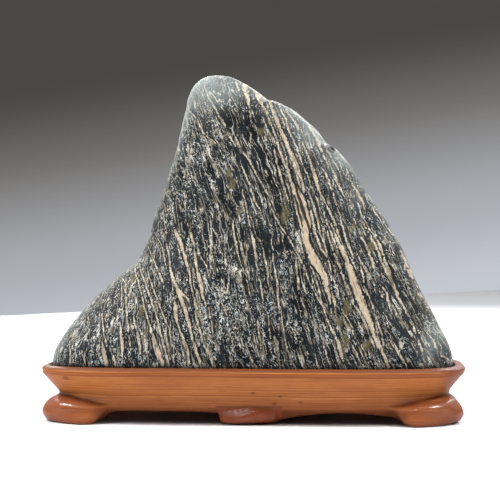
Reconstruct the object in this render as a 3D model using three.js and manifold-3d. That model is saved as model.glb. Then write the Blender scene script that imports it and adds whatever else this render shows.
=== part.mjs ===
// A scholar stone on its carved wooden stand.
// Millimetres, +Z up. The origin is on the floor under the middle of the stand, and the front faces -Y.

import * as THREE from 'three';
import Module from 'manifold-3d';
import { mergeVertices } from 'three/addons/utils/BufferGeometryUtils.js';

const wasm = await Module();
wasm.setup();

// Stand: plan of the rim, and how square its corners are (exponents of a superellipse)
const standHalfWidth = 117.9;
const standHalfDepth = 57;
const cornerLeft = 5;
const cornerRight = 4;
const standSteps = 64;

// Stand: heights above the floor
const rimTop = 30.7;
const waistTop = 17.6;
const waistBottom = 15.6;
const apronBottom = 11;
const hollowTop = 8;

// Stand: how far each part of the wall lies in from the widest outline
const rimFlatInset = 3.2;
const waistInset = 8.9;
const hollowInset = 27;

// Stand: the wall from the floor up to the rim, as inset and height
const wallProfile = [
  { inset: 15, z: 0 },
  { inset: 13.4, z: 3.4 },
  { inset: 11.8, z: 6.6 },
  { inset: 9.7, z: 9 },
  { inset: waistInset, z: apronBottom },
  { inset: waistInset, z: waistBottom },
  { inset: 8.2, z: waistTop },
  { inset: 0.6, z: 26.1 },
  { inset: 0.1, z: 27.2 },
  { inset: 0.7, z: 28.1 },
  { inset: 0, z: 28.9 },
  { inset: 1, z: 30 },
  { inset: rimFlatInset, z: rimTop },
];

// Corner feet: the bun's side from the floor up to the crease under the wall
const footWidestZ = 4.4;
const footProfile = [
  { inset: 3.2, z: 0 },
  { inset: 1.8, z: 0.8 },
  { inset: 0.5, z: 2.3 },
  { inset: 0, z: footWidestZ },
  { inset: 0.3, z: 6.4 },
  { inset: 1.2, z: 8.5 },
  { inset: 3, z: 10.7 },
  { inset: 6.2, z: 12.9 },
  { inset: 10.4, z: 14.9 },
  { inset: 14, z: 15.4 },
];

// Corner feet: those on the left are squarer, and the right front one is the tallest and tucks in below
const leftFeet = { corner: 4.6, height: 1.04, width: 1, tuck: 0 };
const rightFrontFoot = { corner: 4, height: 1.13, width: 0.998, tuck: 0.3 };
const rightBackFoot = { corner: 4, height: 0.86, width: 0.984, tuck: 0 };
const footInnerX = 87;
const footInnerY = 25;
const footEndSlant = 8;
const footEndRise = 9.5;
const footLowEnd = 0.72;
const footHighX = 106;
const footRollLength = 6;
const footRollInset = 2.4;

// Middle feet: blocks that stand a little proud of the apron and end just above the floor. The outline seen
// from the front is worn up to the right.
const middleFootOutline = [
  { x: -13.8, z: 0.6 },
  { x: -3, z: 0.6 },
  { x: 12.4, z: 1.6 },
  { x: 14.8, z: 2.8 },
  { x: 15.4, z: 4.6 },
  { x: 15.4, z: 9.4 },
  { x: -16.8, z: 9.4 },
  { x: -16.2, z: 3 },
  { x: -15.4, z: 1.4 },
];
const middleFootInset = 7;
const middleFootDepth = 24;
const middleFootBevel = 1.5;

// Arches under the aprons. Their ends lean in by leanFrom and leanTo.
const leftArch = { from: -88, to: -13.5, leanFrom: 10, leanTo: 0, top: 6.6, squareness: 5 };
const rightArch = { from: 13, to: 87.6, leanFrom: 0, leanTo: 0, top: 6.3, squareness: 1.7 };
const endArch = { from: -26, to: 26, leanFrom: 5, leanTo: 5, top: 6.4, squareness: 4 };
const archSteps = 15;

// Seat for the stone, a little to the left of the middle
const seatFloor = 23.5;
const seatShift = -0.9;
const seatHalfWidth = 112.6;
const seatHalfDepth = 51.5;
const fitGap = 0.3;
const baseHalfWidth = seatHalfWidth - fitGap;
const baseHalfDepth = seatHalfDepth - fitGap;

// Stone: sections from its underside up to its peak. Left and right are along X, front and back along Y,
// and corner says how square the section is.
const stoneSections = [
  { z: seatFloor + fitGap, left: -109.4, right: 107.4, front: -47, back: 47, corner: cornerRight },
  {
    z: rimTop,
    left: seatShift - baseHalfWidth,
    right: seatShift + baseHalfWidth,
    front: -baseHalfDepth,
    back: baseHalfDepth,
    corner: cornerRight,
  },
  { z: 38, left: -112.3, right: 110.6, front: -51.4, back: 51.8, corner: 3.7 },
  { z: 46, left: -108.8, right: 107.5, front: -50.6, back: 51.4, corner: 3.2 },
  { z: 58, left: -100.5, right: 101.3, front: -48.4, back: 49.8, corner: 2.8 },
  { z: 70, left: -89.4, right: 94.7, front: -45.6, back: 47.4, corner: 2.6 },
  { z: 79, left: -79.1, right: 90.6, front: -43.2, back: 45.2, corner: 2.6 },
  { z: 82, left: -75.6, right: 89.3, front: -42.4, back: 44.4, corner: 2.6 },
  { z: 84.8, left: -71.3, right: 88, front: -41.6, back: 43.6, corner: 2.5 },
  { z: 88.5, left: -67.6, right: 86.3, front: -40.6, back: 42.6, corner: 2.5 },
  { z: 95, left: -64.1, right: 83.6, front: -38.8, back: 41, corner: 2.5 },
  { z: 106, left: -60.2, right: 77.1, front: -35.8, back: 38.4, corner: 2.4 },
  { z: 112, left: -59, right: 73.7, front: -34.2, back: 37, corner: 2.4 },
  { z: 123, left: -54.8, right: 66.3, front: -31.4, back: 34.6, corner: 2.4 },
  { z: 140, left: -49.5, right: 55.9, front: -27.4, back: 31, corner: 2.4 },
  { z: 149.5, left: -46.1, right: 48.4, front: -25.2, back: 29, corner: 2.4 },
  { z: 153.4, left: -45.2, right: 44, front: -24.2, back: 28, corner: 2.4 },
  { z: 154.2, left: -44.9, right: 41.2, front: -24, back: 27.8, corner: 2.4 },
  { z: 160, left: -43.9, right: 37.6, front: -22.6, back: 26.4, corner: 2.4 },
  { z: 168, left: -42.3, right: 29, front: -20.4, back: 24.2, corner: 2.3 },
  { z: 175, left: -40.7, right: 20.6, front: -18, back: 21.8, corner: 2.3 },
  { z: 179.2, left: -40.1, right: 12.4, front: -16.2, back: 20, corner: 2.3 },
  { z: 180, left: -39.8, right: 7.1, front: -15.8, back: 19.4, corner: 2.2 },
  { z: 184.4, left: -38.3, right: 2, front: -13.2, back: 17, corner: 2.2 },
  { z: 188.4, left: -36.1, right: -4.2, front: -9.8, back: 14, corner: 2.2 },
  { z: 191.4, left: -33, right: -9.8, front: -6.2, back: 10.4, corner: 2.1 },
  { z: 193.4, left: -29.6, right: -14.4, front: -2.4, back: 6.8, corner: 2 },
  { z: 194.1, left: -26.6, right: -17.4, front: 0, back: 4.6, corner: 2 },
];
const stonePeak = new THREE.Vector3(-22, 2.2, 194.5);
const ringSpacing = 5.4;
const stoneSteps = 56;
const outlineSteps = 360;

// Stone: above the rim, its own forms set in over the first height and its own corners over the second
const formsSetIn = 10;
const cornersSetIn = 30;

// Stone: broad forms on its front and back, as hollows (negative) and swellings (positive) of the face
const frontForms = [
  { name: 'valley beside the left lobe, upper part', x: -62, z: 78, spreadX: 9, spreadZ: 17, rise: -3 },
  { name: 'valley beside the left lobe, lower part', x: -52, z: 48, spreadX: 10, spreadZ: 20, rise: -2 },
  { name: 'left lobe', x: -88, z: 50, spreadX: 16, spreadZ: 18, rise: 1.8 },
  { name: 'groove below the notch, upper part', x: 12, z: 168, spreadX: 6, spreadZ: 12, rise: -2 },
  { name: 'groove below the notch, lower part', x: 21, z: 142, spreadX: 7, spreadZ: 16, rise: -1.4 },
  { name: 'hump right of the notch', x: 30, z: 148, spreadX: 9, spreadZ: 18, rise: 1.6 },
  { name: 'swelling of the belly', x: 18, z: 70, spreadX: 34, spreadZ: 30, rise: 1.8 },
  { name: 'hollow in the belly', x: -18, z: 92, spreadX: 16, spreadZ: 24, rise: -1.6 },
  { name: 'right flank', x: 72, z: 66, spreadX: 18, spreadZ: 30, rise: 1.4 },
];
const backForms = [
  { name: 'broad hollow', x: 26, z: 92, spreadX: 22, spreadZ: 26, rise: -6 },
  { name: 'ridge down from the peak', x: -16, z: 128, spreadX: 11, spreadZ: 40, rise: 3.2 },
  { name: 'ledge low on the left', x: -64, z: 54, spreadX: 22, spreadZ: 9, rise: 3 },
  { name: 'hollow over the ledge', x: -58, z: 78, spreadX: 20, spreadZ: 11, rise: -3.4 },
  { name: 'swelling low on the right', x: 62, z: 50, spreadX: 26, spreadZ: 16, rise: 2.6 },
];

// Stone: gentle unevenness all over, which fades out where the stone is narrow
const waveHeight = 0.4;
const waveLengths = [44, 31, 22];
const waveLean = 0.4;
const waveCross = { x: -0.6, z: 0.8 };
const waveFadeFrom = 4;
const waveFadeTo = 30;

// Stone: the small dark pit on the ledge at its right edge
const pitCentre = new THREE.Vector3(45.2, -6.8, 151.7);
const pitHalfSizes = new THREE.Vector3(2.3, 2.6, 1.5);
const pitTilt = THREE.MathUtils.degToRad(35);
const pitSteps = 10;

// Moulded shapes are joined and cut as closed solids.
function toSolid(geometry) {
  const bare = geometry.clone();
  bare.deleteAttribute('normal');
  bare.deleteAttribute('uv');
  const weld = 1e-4;
  const merged = mergeVertices(bare, weld);
  return new wasm.Manifold(new wasm.Mesh({
    numProp: 3,
    vertProperties: new Float32Array(merged.attributes.position.array),
    triVerts: new Uint32Array(merged.index.array),
  }));
}

function toGeometry(solid) {
  const mesh = solid.getMesh();
  const geometry = new THREE.BufferGeometry();
  geometry.setAttribute('position', new THREE.BufferAttribute(mesh.vertProperties, 3));
  geometry.setIndex(new THREE.BufferAttribute(mesh.triVerts, 1));
  geometry.computeVertexNormals();
  return geometry;
}

// A closed skin over rings of equal count, which run counter-clockwise seen from above and are given
// from the lowest to the highest. Each end closes on one point.
function loft(rings, lowPoint, highPoint) {
  const count = rings[0].length;
  const points = [...rings.flat(), lowPoint, highPoint];
  const low = points.length - 2;
  const high = points.length - 1;
  const lastRing = (rings.length - 1) * count;
  const triangles = [];
  for (let i = 0; i < count; i += 1) {
    const next = (i + 1) % count;
    triangles.push(low, next, i);
    triangles.push(high, lastRing + i, lastRing + next);
    for (let start = 0; start < lastRing; start += count) {
      const a = start + i;
      const b = start + next;
      triangles.push(a, b, b + count);
      triangles.push(a, b + count, a + count);
    }
  }
  const geometry = new THREE.BufferGeometry().setFromPoints(points);
  geometry.setIndex(triangles);
  return geometry;
}

// One point of an outline with rounded corners. The exponent may differ on the two sides of the middle.
function outlinePoint(turn, halfX, halfY, exponentLeft, exponentRight) {
  const cos = Math.cos(turn);
  const sin = Math.sin(turn);
  const power = 2 / (cos < 0 ? exponentLeft : exponentRight);
  const x = halfX * Math.sign(cos) * Math.abs(cos) ** power;
  const y = halfY * Math.sign(sin) * Math.abs(sin) ** power;
  return new THREE.Vector2(x, y);
}

// A level ring with the stand's rounded corners
function ring(halfX, halfY, z, exponentLeft = cornerLeft, exponentRight = cornerRight) {
  return Array.from({ length: standSteps }, (_, i) => {
    const turn = (i / standSteps) * 2 * Math.PI;
    const point = outlinePoint(turn, halfX, halfY, exponentLeft, exponentRight);
    return new THREE.Vector3(point.x, point.y, z);
  });
}

// The stand's outline at one height
function standRing(inset, z, exponentLeft, exponentRight) {
  return ring(standHalfWidth - inset, standHalfDepth - inset, z, exponentLeft, exponentRight);
}

// An upright block with the stand's rounded corners
function roundedBlock(halfX, halfY, from, to) {
  return toSolid(loft(
    [ring(halfX, halfY, from), ring(halfX, halfY, to)],
    new THREE.Vector3(0, 0, from),
    new THREE.Vector3(0, 0, to),
  ));
}

// The block with its rim, tapered wall, waist and apron, down to the floor
function wallSolid() {
  const rings = wallProfile.map(({ inset, z }) => standRing(inset, z));
  return toSolid(loft(rings, new THREE.Vector3(0, 0, 0), new THREE.Vector3(0, 0, rimTop)));
}

// How near a place is to the end of a foot, where its side rolls in: 1 at the end, 0 away from it
function nearFootEnd({ x, y }) {
  const near = (distance, inner) => (
    1 - THREE.MathUtils.smoothstep(distance, inner - footRollLength, inner + footRollLength)
  );
  return Math.max(near(Math.abs(x), footInnerX), near(Math.abs(y), footInnerY));
}

// The kind of corner foot that a place belongs to
function footAt({ x, y }) {
  if (x < 0) {
    return leftFeet;
  }
  return y < 0 ? rightFrontFoot : rightBackFoot;
}

// The four corner feet, before the room between them is cut: a skirt all round, lower towards the middle
function footSkirt() {
  const lastLevel = footProfile.length - 1;
  const rings = footProfile.map(({ inset, z }, level) => {
    const up = level / lastLevel;
    const squareLeft = THREE.MathUtils.lerp(leftFeet.corner, cornerLeft, up);
    const squareRight = THREE.MathUtils.lerp(rightFrontFoot.corner, cornerRight, up);
    return standRing(inset, z, squareLeft, squareRight).map((point) => {
      const foot = footAt(point);
      const outward = THREE.MathUtils.smoothstep(Math.abs(point.x), footInnerX - footEndSlant, footHighX);
      const tuck = foot.tuck * Math.max(1 - z / footWidestZ, 0);
      const roll = footRollInset * nearFootEnd(point) + tuck;
      point.x *= foot.width * (1 - roll / standHalfWidth);
      point.y *= 1 - roll / standHalfDepth;
      point.z *= THREE.MathUtils.lerp(footLowEnd, foot.height, outward);
      return point;
    });
  });
  const top = rings[lastLevel].reduce((highest, point) => Math.max(highest, point.z), 0);
  return toSolid(loft(rings, new THREE.Vector3(0, 0, 0), new THREE.Vector3(0, 0, top)));
}

// A prism along Y (or, turned, along X) with its outline in the vertical plane
function prism(outline, halfLength, alongX = false) {
  const shape = new THREE.Shape(outline);
  const geometry = new THREE.ExtrudeGeometry(shape, { depth: 2 * halfLength, bevelEnabled: false });
  geometry.translate(0, 0, -halfLength);
  geometry.rotateX(Math.PI / 2);
  if (alongX) {
    geometry.rotateZ(Math.PI / 2);
  }
  return toSolid(geometry);
}

// The room between two feet, wider at its top, where the feet reach furthest in
function footRoom(inner) {
  const below = -1;
  const top = rimTop;
  const slant = footEndSlant / footEndRise;
  const low = inner - below * slant;
  const narrow = Math.max(inner - top * slant, 1);
  return [
    new THREE.Vector2(-low, below),
    new THREE.Vector2(low, below),
    new THREE.Vector2(inner - footEndSlant, footEndRise),
    new THREE.Vector2(narrow, top),
    new THREE.Vector2(-narrow, top),
    new THREE.Vector2(-(inner - footEndSlant), footEndRise),
  ];
}

// An arch with a flat or round crown
function archOutline({ from, to, leanFrom, leanTo, top, squareness }) {
  const below = -1;
  const middle = (from + to) / 2;
  const half = (to - from) / 2;
  const points = [new THREE.Vector2(from, below), new THREE.Vector2(to, below)];
  for (let i = 0; i <= archSteps; i += 1) {
    const turn = (i / archSteps) * Math.PI;
    const across = Math.sign(Math.cos(turn)) * Math.abs(Math.cos(turn)) ** (2 / squareness);
    const up = Math.max(Math.sin(turn), 0) ** (2 / squareness);
    const lean = across < 0 ? leanFrom : -leanTo;
    points.push(new THREE.Vector2(middle + half * across + lean * up * Math.abs(across), top * up));
  }
  return points;
}

// The middle foot at the front (side -1) or at the back (side 1)
function middleFoot(side) {
  const front = new THREE.Shape(middleFootOutline.map(({ x, z }) => new THREE.Vector2(x, z)));
  const thickness = 2 * middleFootBevel;
  const geometry = new THREE.ExtrudeGeometry(front, {
    depth: middleFootDepth - 2 * thickness,
    bevelThickness: thickness,
    bevelSize: middleFootBevel,
    bevelOffset: -middleFootBevel,
    bevelSegments: 2,
  });
  geometry.translate(0, 0, thickness - middleFootDepth / 2);
  geometry.rotateX(Math.PI / 2);
  const offset = standHalfDepth - middleFootInset - middleFootDepth / 2;
  geometry.translate(0, side * offset, 0);
  return toSolid(geometry);
}

function makeStand() {
  const reach = standHalfWidth + 1;
  const frontArches = [leftArch, rightArch].map((arch) => prism(archOutline(arch), reach));
  const endArches = prism(archOutline(endArch), reach, true);
  const below = -1;
  const hollow = roundedBlock(standHalfWidth - hollowInset, standHalfDepth - hollowInset, below, hollowTop);
  const seat = roundedBlock(seatHalfWidth, seatHalfDepth, seatFloor, rimTop + 1).translate([seatShift, 0, 0]);

  let feet = footSkirt();
  feet = feet.subtract(prism(footRoom(footInnerX), reach));
  feet = feet.subtract(prism(footRoom(footInnerY), reach, true));

  let body = wallSolid();
  frontArches.forEach((arch) => {
    body = body.subtract(arch);
  });
  body = body.subtract(endArches);

  const stand = body.add(feet)
    .add(middleFoot(-1))
    .add(middleFoot(1))
    .subtract(hollow)
    .subtract(seat);
  return toGeometry(stand);
}

// A smooth curve through the sections' values that never swings past them
function sectionCurve(key) {
  const rows = stoneSections;
  const last = rows.length - 1;
  const rate = (i) => (rows[i + 1][key] - rows[i][key]) / (rows[i + 1].z - rows[i].z);
  const slopes = rows.map((_, i) => {
    if (i === 0) {
      return rate(0);
    }
    if (i === last) {
      return rate(last - 1);
    }
    const before = rate(i - 1);
    const after = rate(i);
    return before * after > 0 ? (2 * before * after) / (before + after) : 0;
  });
  return (z) => {
    const above = rows.findIndex((row) => row.z >= z);
    const i = Math.max(above, 1) - 1;
    const span = rows[i + 1].z - rows[i].z;
    const t = (z - rows[i].z) / span;
    const rest = 1 - t;
    return rows[i][key] * (1 + 2 * t) * rest ** 2
      + rows[i + 1][key] * (3 - 2 * t) * t ** 2
      + slopes[i] * span * t * rest ** 2
      - slopes[i + 1] * span * rest * t ** 2;
  };
}

const curves = Object.fromEntries(
  ['left', 'right', 'front', 'back', 'corner'].map((key) => [key, sectionCurve(key)]),
);

// Heights of the rings: every section, and even steps between them
function ringHeights() {
  const heights = [];
  stoneSections.slice(0, -1).forEach((section, i) => {
    const gap = stoneSections[i + 1].z - section.z;
    const count = Math.ceil(gap / ringSpacing);
    for (let step = 0; step < count; step += 1) {
      heights.push(section.z + (gap * step) / count);
    }
  });
  heights.push(stoneSections.at(-1).z);
  return heights;
}

// Points at equal steps along a closed outline
function evenPoints(outline, count) {
  const path = new THREE.Path(outline);
  path.closePath();
  return path.getSpacedPoints(count).slice(0, count);
}

// How far a form raises the face at a place
function formRise(forms, x, z) {
  return forms.reduce((total, form) => {
    const across = (x - form.x) / form.spreadX;
    const up = (z - form.z) / form.spreadZ;
    return total + form.rise * Math.exp(-(across ** 2) - up ** 2);
  }, 0);
}

// Gentle unevenness all over
function waves(x, y, z) {
  return waveHeight * waveLengths.reduce((total, length, i) => {
    const k = (2 * Math.PI) / length;
    const along = x + waveLean * z;
    const cross = waveCross.x * x + y + waveCross.z * z;
    return total + Math.sin(k * along + i) * Math.cos(k * cross + 2 * i);
  }, 0);
}

function stoneRing(z) {
  const left = curves.left(z);
  const right = curves.right(z);
  const front = curves.front(z);
  const back = curves.back(z);
  const corner = curves.corner(z);
  const middleX = (left + right) / 2;
  const middleY = (front + back) / 2;
  const halfX = (right - left) / 2;
  const halfY = (back - front) / 2;
  const likeSeat = 1 - THREE.MathUtils.smoothstep(z, rimTop, rimTop + cornersSetIn);
  const cornerOnLeft = corner + (cornerLeft - cornerRight) * likeSeat;
  const outline = Array.from({ length: outlineSteps }, (_, i) => (
    outlinePoint((i / outlineSteps) * 2 * Math.PI, halfX, halfY, cornerOnLeft, corner)
  ));
  const aboveSeat = THREE.MathUtils.smoothstep(z, rimTop, rimTop + formsSetIn);
  const waveShare = THREE.MathUtils.smoothstep(halfX, waveFadeFrom, waveFadeTo);
  return evenPoints(outline, stoneSteps).map((point) => {
    const x = middleX + point.x;
    const y = middleY + point.y;
    const facing = THREE.MathUtils.clamp(point.y / halfY, -1, 1);
    const forms = facing < 0 ? frontForms : backForms;
    const rise = formRise(forms, x, z) + waveShare * waves(x, y, z);
    return new THREE.Vector3(x, y + facing * aboveSeat * rise, z);
  });
}

function makeStone() {
  const rings = ringHeights().map(stoneRing);
  const underside = new THREE.Vector3(0, 0, stoneSections[0].z);
  const body = toSolid(loft(rings, underside, stonePeak));

  const pit = new THREE.SphereGeometry(1, pitSteps, pitSteps);
  pit.scale(...pitHalfSizes);
  pit.rotateY(pitTilt);
  pit.translate(...pitCentre);
  return toGeometry(body.subtract(toSolid(pit)));
}

const stoneMaterial = new THREE.MeshStandardMaterial({ color: 0x3a4147, roughness: 0.55, metalness: 0 });
const woodMaterial = new THREE.MeshStandardMaterial({ color: 0xa05a34, roughness: 0.38, metalness: 0 });

const stone = new THREE.Mesh(makeStone(), stoneMaterial);
stone.name = 'stone';

const stand = new THREE.Mesh(makeStand(), woodMaterial);
stand.name = 'stand';

const scholarStone = new THREE.Group();
scholarStone.add(stone, stand);

export default scholarStone;
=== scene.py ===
# A scholar stone on its carved wooden stand: its looks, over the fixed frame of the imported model.
# Lengths are written in millimetres and turned into metres by MM. +Z is up and the front faces -Y.

import math

import bmesh
import bpy
import numpy as np
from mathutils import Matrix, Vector


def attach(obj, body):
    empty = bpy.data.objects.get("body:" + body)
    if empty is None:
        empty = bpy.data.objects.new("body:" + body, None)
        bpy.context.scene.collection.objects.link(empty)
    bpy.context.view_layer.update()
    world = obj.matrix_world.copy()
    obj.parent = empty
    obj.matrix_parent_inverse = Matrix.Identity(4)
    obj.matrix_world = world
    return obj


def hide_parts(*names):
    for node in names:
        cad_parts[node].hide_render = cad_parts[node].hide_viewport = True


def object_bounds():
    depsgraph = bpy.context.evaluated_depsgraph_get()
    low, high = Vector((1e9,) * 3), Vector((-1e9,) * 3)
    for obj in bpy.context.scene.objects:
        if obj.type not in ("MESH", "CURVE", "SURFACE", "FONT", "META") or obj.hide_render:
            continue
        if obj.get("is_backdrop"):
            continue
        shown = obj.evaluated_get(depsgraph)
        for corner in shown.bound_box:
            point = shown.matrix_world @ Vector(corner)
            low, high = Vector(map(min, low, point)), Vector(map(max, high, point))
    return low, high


MM = 0.001
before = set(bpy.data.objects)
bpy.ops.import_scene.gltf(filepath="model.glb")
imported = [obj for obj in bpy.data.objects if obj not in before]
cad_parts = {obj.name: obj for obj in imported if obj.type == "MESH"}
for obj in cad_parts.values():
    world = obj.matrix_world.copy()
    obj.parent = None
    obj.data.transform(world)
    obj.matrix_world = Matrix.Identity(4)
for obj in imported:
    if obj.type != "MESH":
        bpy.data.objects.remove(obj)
cad_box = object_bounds()

# Camera: level, orbited a little to the right of the front
CAMERA_TURN = math.radians(4.5)
CAMERA_DISTANCE = 800
CAMERA_SIDE = -3.2
CAMERA_HEIGHT = 94
CAMERA_VIEW_WIDTH = 285
CAMERA_SENSOR = 36
CAMERA_REACH = 100

# Stand: plan, as in the solid model
STAND_HALF_WIDTH = 117.9
STAND_HALF_DEPTH = 57
WALL_CORNERS = (5, 4)
FOOT_CORNERS = (4.7, 4)
FOOT_BOTTOM_CORNERS = (5, 4.1)
RIM_TOP = 30.7

# Stand: the wall's inset at each height
LOW_PROFILE = [(0, 15), (3.4, 13.4), (6.6, 11.8)]
RIM_PROFILE = [(28.2, 0.4), (28.8, 0.15), (29.5, 0.55), (30.2, 1.5), (30.7, 3.6)]
WALL_PROFILE = [
    *LOW_PROFILE, (9, 10.1), (11, 9.3), (14, 9.05), (15.3, 8.9), (16.6, 8.2), (26.1, 0.6), (27.1, 0.25),
    (27.8, 0.4), *RIM_PROFILE,
]

# Stand: in the middle of the long sides the wall's waist fades into an even curve
MIDDLE_WALL_PROFILE = [
    *LOW_PROFILE, (9, 10.4), (11, 9.7), (13, 9.1), (15, 8.4), (17, 7.35), (19, 6), (21, 4.5), (26.1, 0.6),
    (27.1, 0.25), *RIM_PROFILE,
]

# Stand: where, to each side, the wall of the middle passes into the wall of the ends
MIDDLE_WALL_FADE = (60, 90)

# Stand: at the right end the wall lies in a little more
RIGHT_END_FADE = (60, 110)
RIGHT_END_INSET = [(15, 0), (18, 0.9), (25, 1), (27.5, 0.2), (29, 0)]

# Stand: the corner feet's inset at each height
FOOT_PROFILE = [
    (0, 3.9), (0.5, 2.9), (1.2, 2), (2.2, 1.1), (3.4, 0.35), (4.6, 0), (5.6, 0.1), (6.8, 0.45), (7.9, 0.95),
    (9, 1.6), (10.1, 2.45), (11.2, 3.5), (12.3, 5), (13.3, 7), (14, 9.2), (14.5, 12), (15.1, 18), (16.5, 40),
]
LEFT_FEET = {"height": 1.04, "width": 1.0, "tuck": 0}
RIGHT_FRONT_FOOT = {"height": 1.13, "width": 1.0, "tuck": 0.3}
RIGHT_BACK_FOOT = {"height": 0.86, "width": 0.984, "tuck": 0}
FOOT_WIDEST = 3.4
FOOT_BOTTOM_FADE = -1
FOOT_SHOULDER = {"size": 2.4, "from": 5.5, "full": 11.2, "falling": 11.8, "to": 14.2}
FOOT_SHOULDER_ENDS = (103, 111)
FOOT_TOE = 3
FOOT_TOE_HEIGHT = 5
FOOT_TOE_ENDS = (90, 112)
FOOT_INNER_X = 85.5
FOOT_INNER_Y = 25
FOOT_SLANT = 8 / 9.5
FOOT_LOW_END = 0.75
FOOT_RISE = (77.5, 106)
FOOT_ROLL_LENGTH = 6
FOOT_ROLL_INSET = 2.4

# Stand: arches under the aprons
LEFT_ARCH = {"from": -88, "to": -13.5, "lean_from": 10, "lean_to": 0, "top": 6.6, "square": 5}
RIGHT_ARCH = {"from": 13, "to": 87.6, "lean_from": 0, "lean_to": 0, "top": 6.3, "square": 1.7}
END_ARCH = {"from": -26, "to": 26, "lean_from": 5, "lean_to": 5, "top": 6.4, "square": 4}

# Stand: middle feet, the hollow under the block, and the seat of the stone
MIDDLE_FOOT = [
    (-13.8, 0.6), (-3, 0.6), (12.4, 1.6), (14.8, 2.8), (15.4, 4.6),
    (15.4, 9.4), (-16.8, 9.4), (-16.2, 3), (-15.4, 1.4),
]
MIDDLE_FOOT_INSET = 7
MIDDLE_FOOT_DEPTH = 24
MIDDLE_FOOT_ROUND = 3.2
MIDDLE_FOOT_BOW = 0.009
MIDDLE_FOOT_BOW_MIDDLE = -4
MIDDLE_FOOT_FACET = {"x": -5.2, "height": 4.2, "rise": 0.17, "steepness": 1.7, "round": 0.5}
HOLLOW_INSET = 27
HOLLOW_TOP = 8
SEAT_SHIFT = -0.9
SEAT_HALF_WIDTH = 112.6
SEAT_HALF_DEPTH = 51.5
SEAT_FLOOR = 23.5
SEAT_EDGE_ROUND = 0.4

# Stand: how widely its edges and creases are rounded, and the tool's gentle unevenness
EDGE_ROUND = 1.2
CREASE_ROUND = 1.2
FOOT_MERGE = 3
FOOT_ROUND = 6
FOOT_ROUND_SHIFT = 1.2
FOOT_SIDE_ROUND = 2
CARVING_DEPTH = 0.16
CARVING_SIZE = (16, 14, 6)
CARVING_SEED = 4

# Stand: the grid that its skin is found on. It is finest at the rim, and no layer lies on the floor.
GRID = {"plan": 1.05, "low": 0.55, "rim": 0.36, "rim_from": 25, "margin": 2, "offset": 0.31}

# Stand: how far outside an outline insets are followed, how close to its middle, and how exactly
INSET_OUTSIDE = 15.0
INSET_LEFT = 0.5
INSET_HALVINGS = 30
TINY = 1e-9

# Both: the noise repeats after so many cells
NOISE_CELLS = 64

# Stone: mesh and relief
WELD_DISTANCE = 0.01
FLAT_ANGLE = 0.7
SKEW_ANGLE = 1.2
ROUNDING_LEVELS = 2
STONE_VOXEL = 0.95
STONE_SMOOTHING = 3
RELIEF = [
    {"what": "broad swellings", "size": (17, 15, 26), "depth": 0.55},
    {"what": "flutes along the stripes", "size": (4.2, 9, 34), "depth": 0.3},
    {"what": "knobs and pits", "size": (2.4, 2.6, 3.4), "depth": 0.14},
]
RELIEF_SEED = 20
RELIEF_FADE = (RIM_TOP - 1, RIM_TOP + 4)

# Stone: the groove that starts in the notch beside the peak, as points of (across, height, depth), and the
# small pit on the ledge at the right edge
NOTCH_GROOVE = [(5, 184, 0), (8.5, 180, 1.5), (12, 172, 1.0), (16, 162, 0.6), (20, 152, 0.3), (24, 142, 0)]
NOTCH_HALF_WIDTH = 1.5
PIT = {"centre": (43.8, -14, 150.7), "half_width": 3, "half_depth": 14, "half_height": 2.1, "lean": 40}
PIT_DEPTH = 0.6
PIT_EDGE = (0.7, 1.2)

# Stone: the sheets of the rock lean back, so what shows at the front comes out shifted at the back
SHEET_TILT = 0.3
BASE_HEIGHT = 30

# Stone: how far the stripes lean from upright, in degrees, at places given by where across the sheets, and
# height. They run down to the right.
STRIPE_LEANS = [
    (-93, 42, -10), (-78, 53, 1), (-62, 67, 10), (-38, 58, 15), (-18, 70, 16), (10, 92, 11),
    (34, 95, 22), (-18, 160, 33), (4, 142, 30), (2, 178, 17), (22, 155, 21), (36, 112, 18),
    (66, 66, 22), (54, 48, 16), (98, 58, 29), (76, 108, 28), (-40, 120, 22),
]
LEAN_REACH = 20
LEAN_STEP = 4
LEAN_LEAST_WEIGHT = 1e-6
STRIPE_BEND = {"depth": 1.6, "size": (26, 40, 30), "seed": 11}

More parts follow.
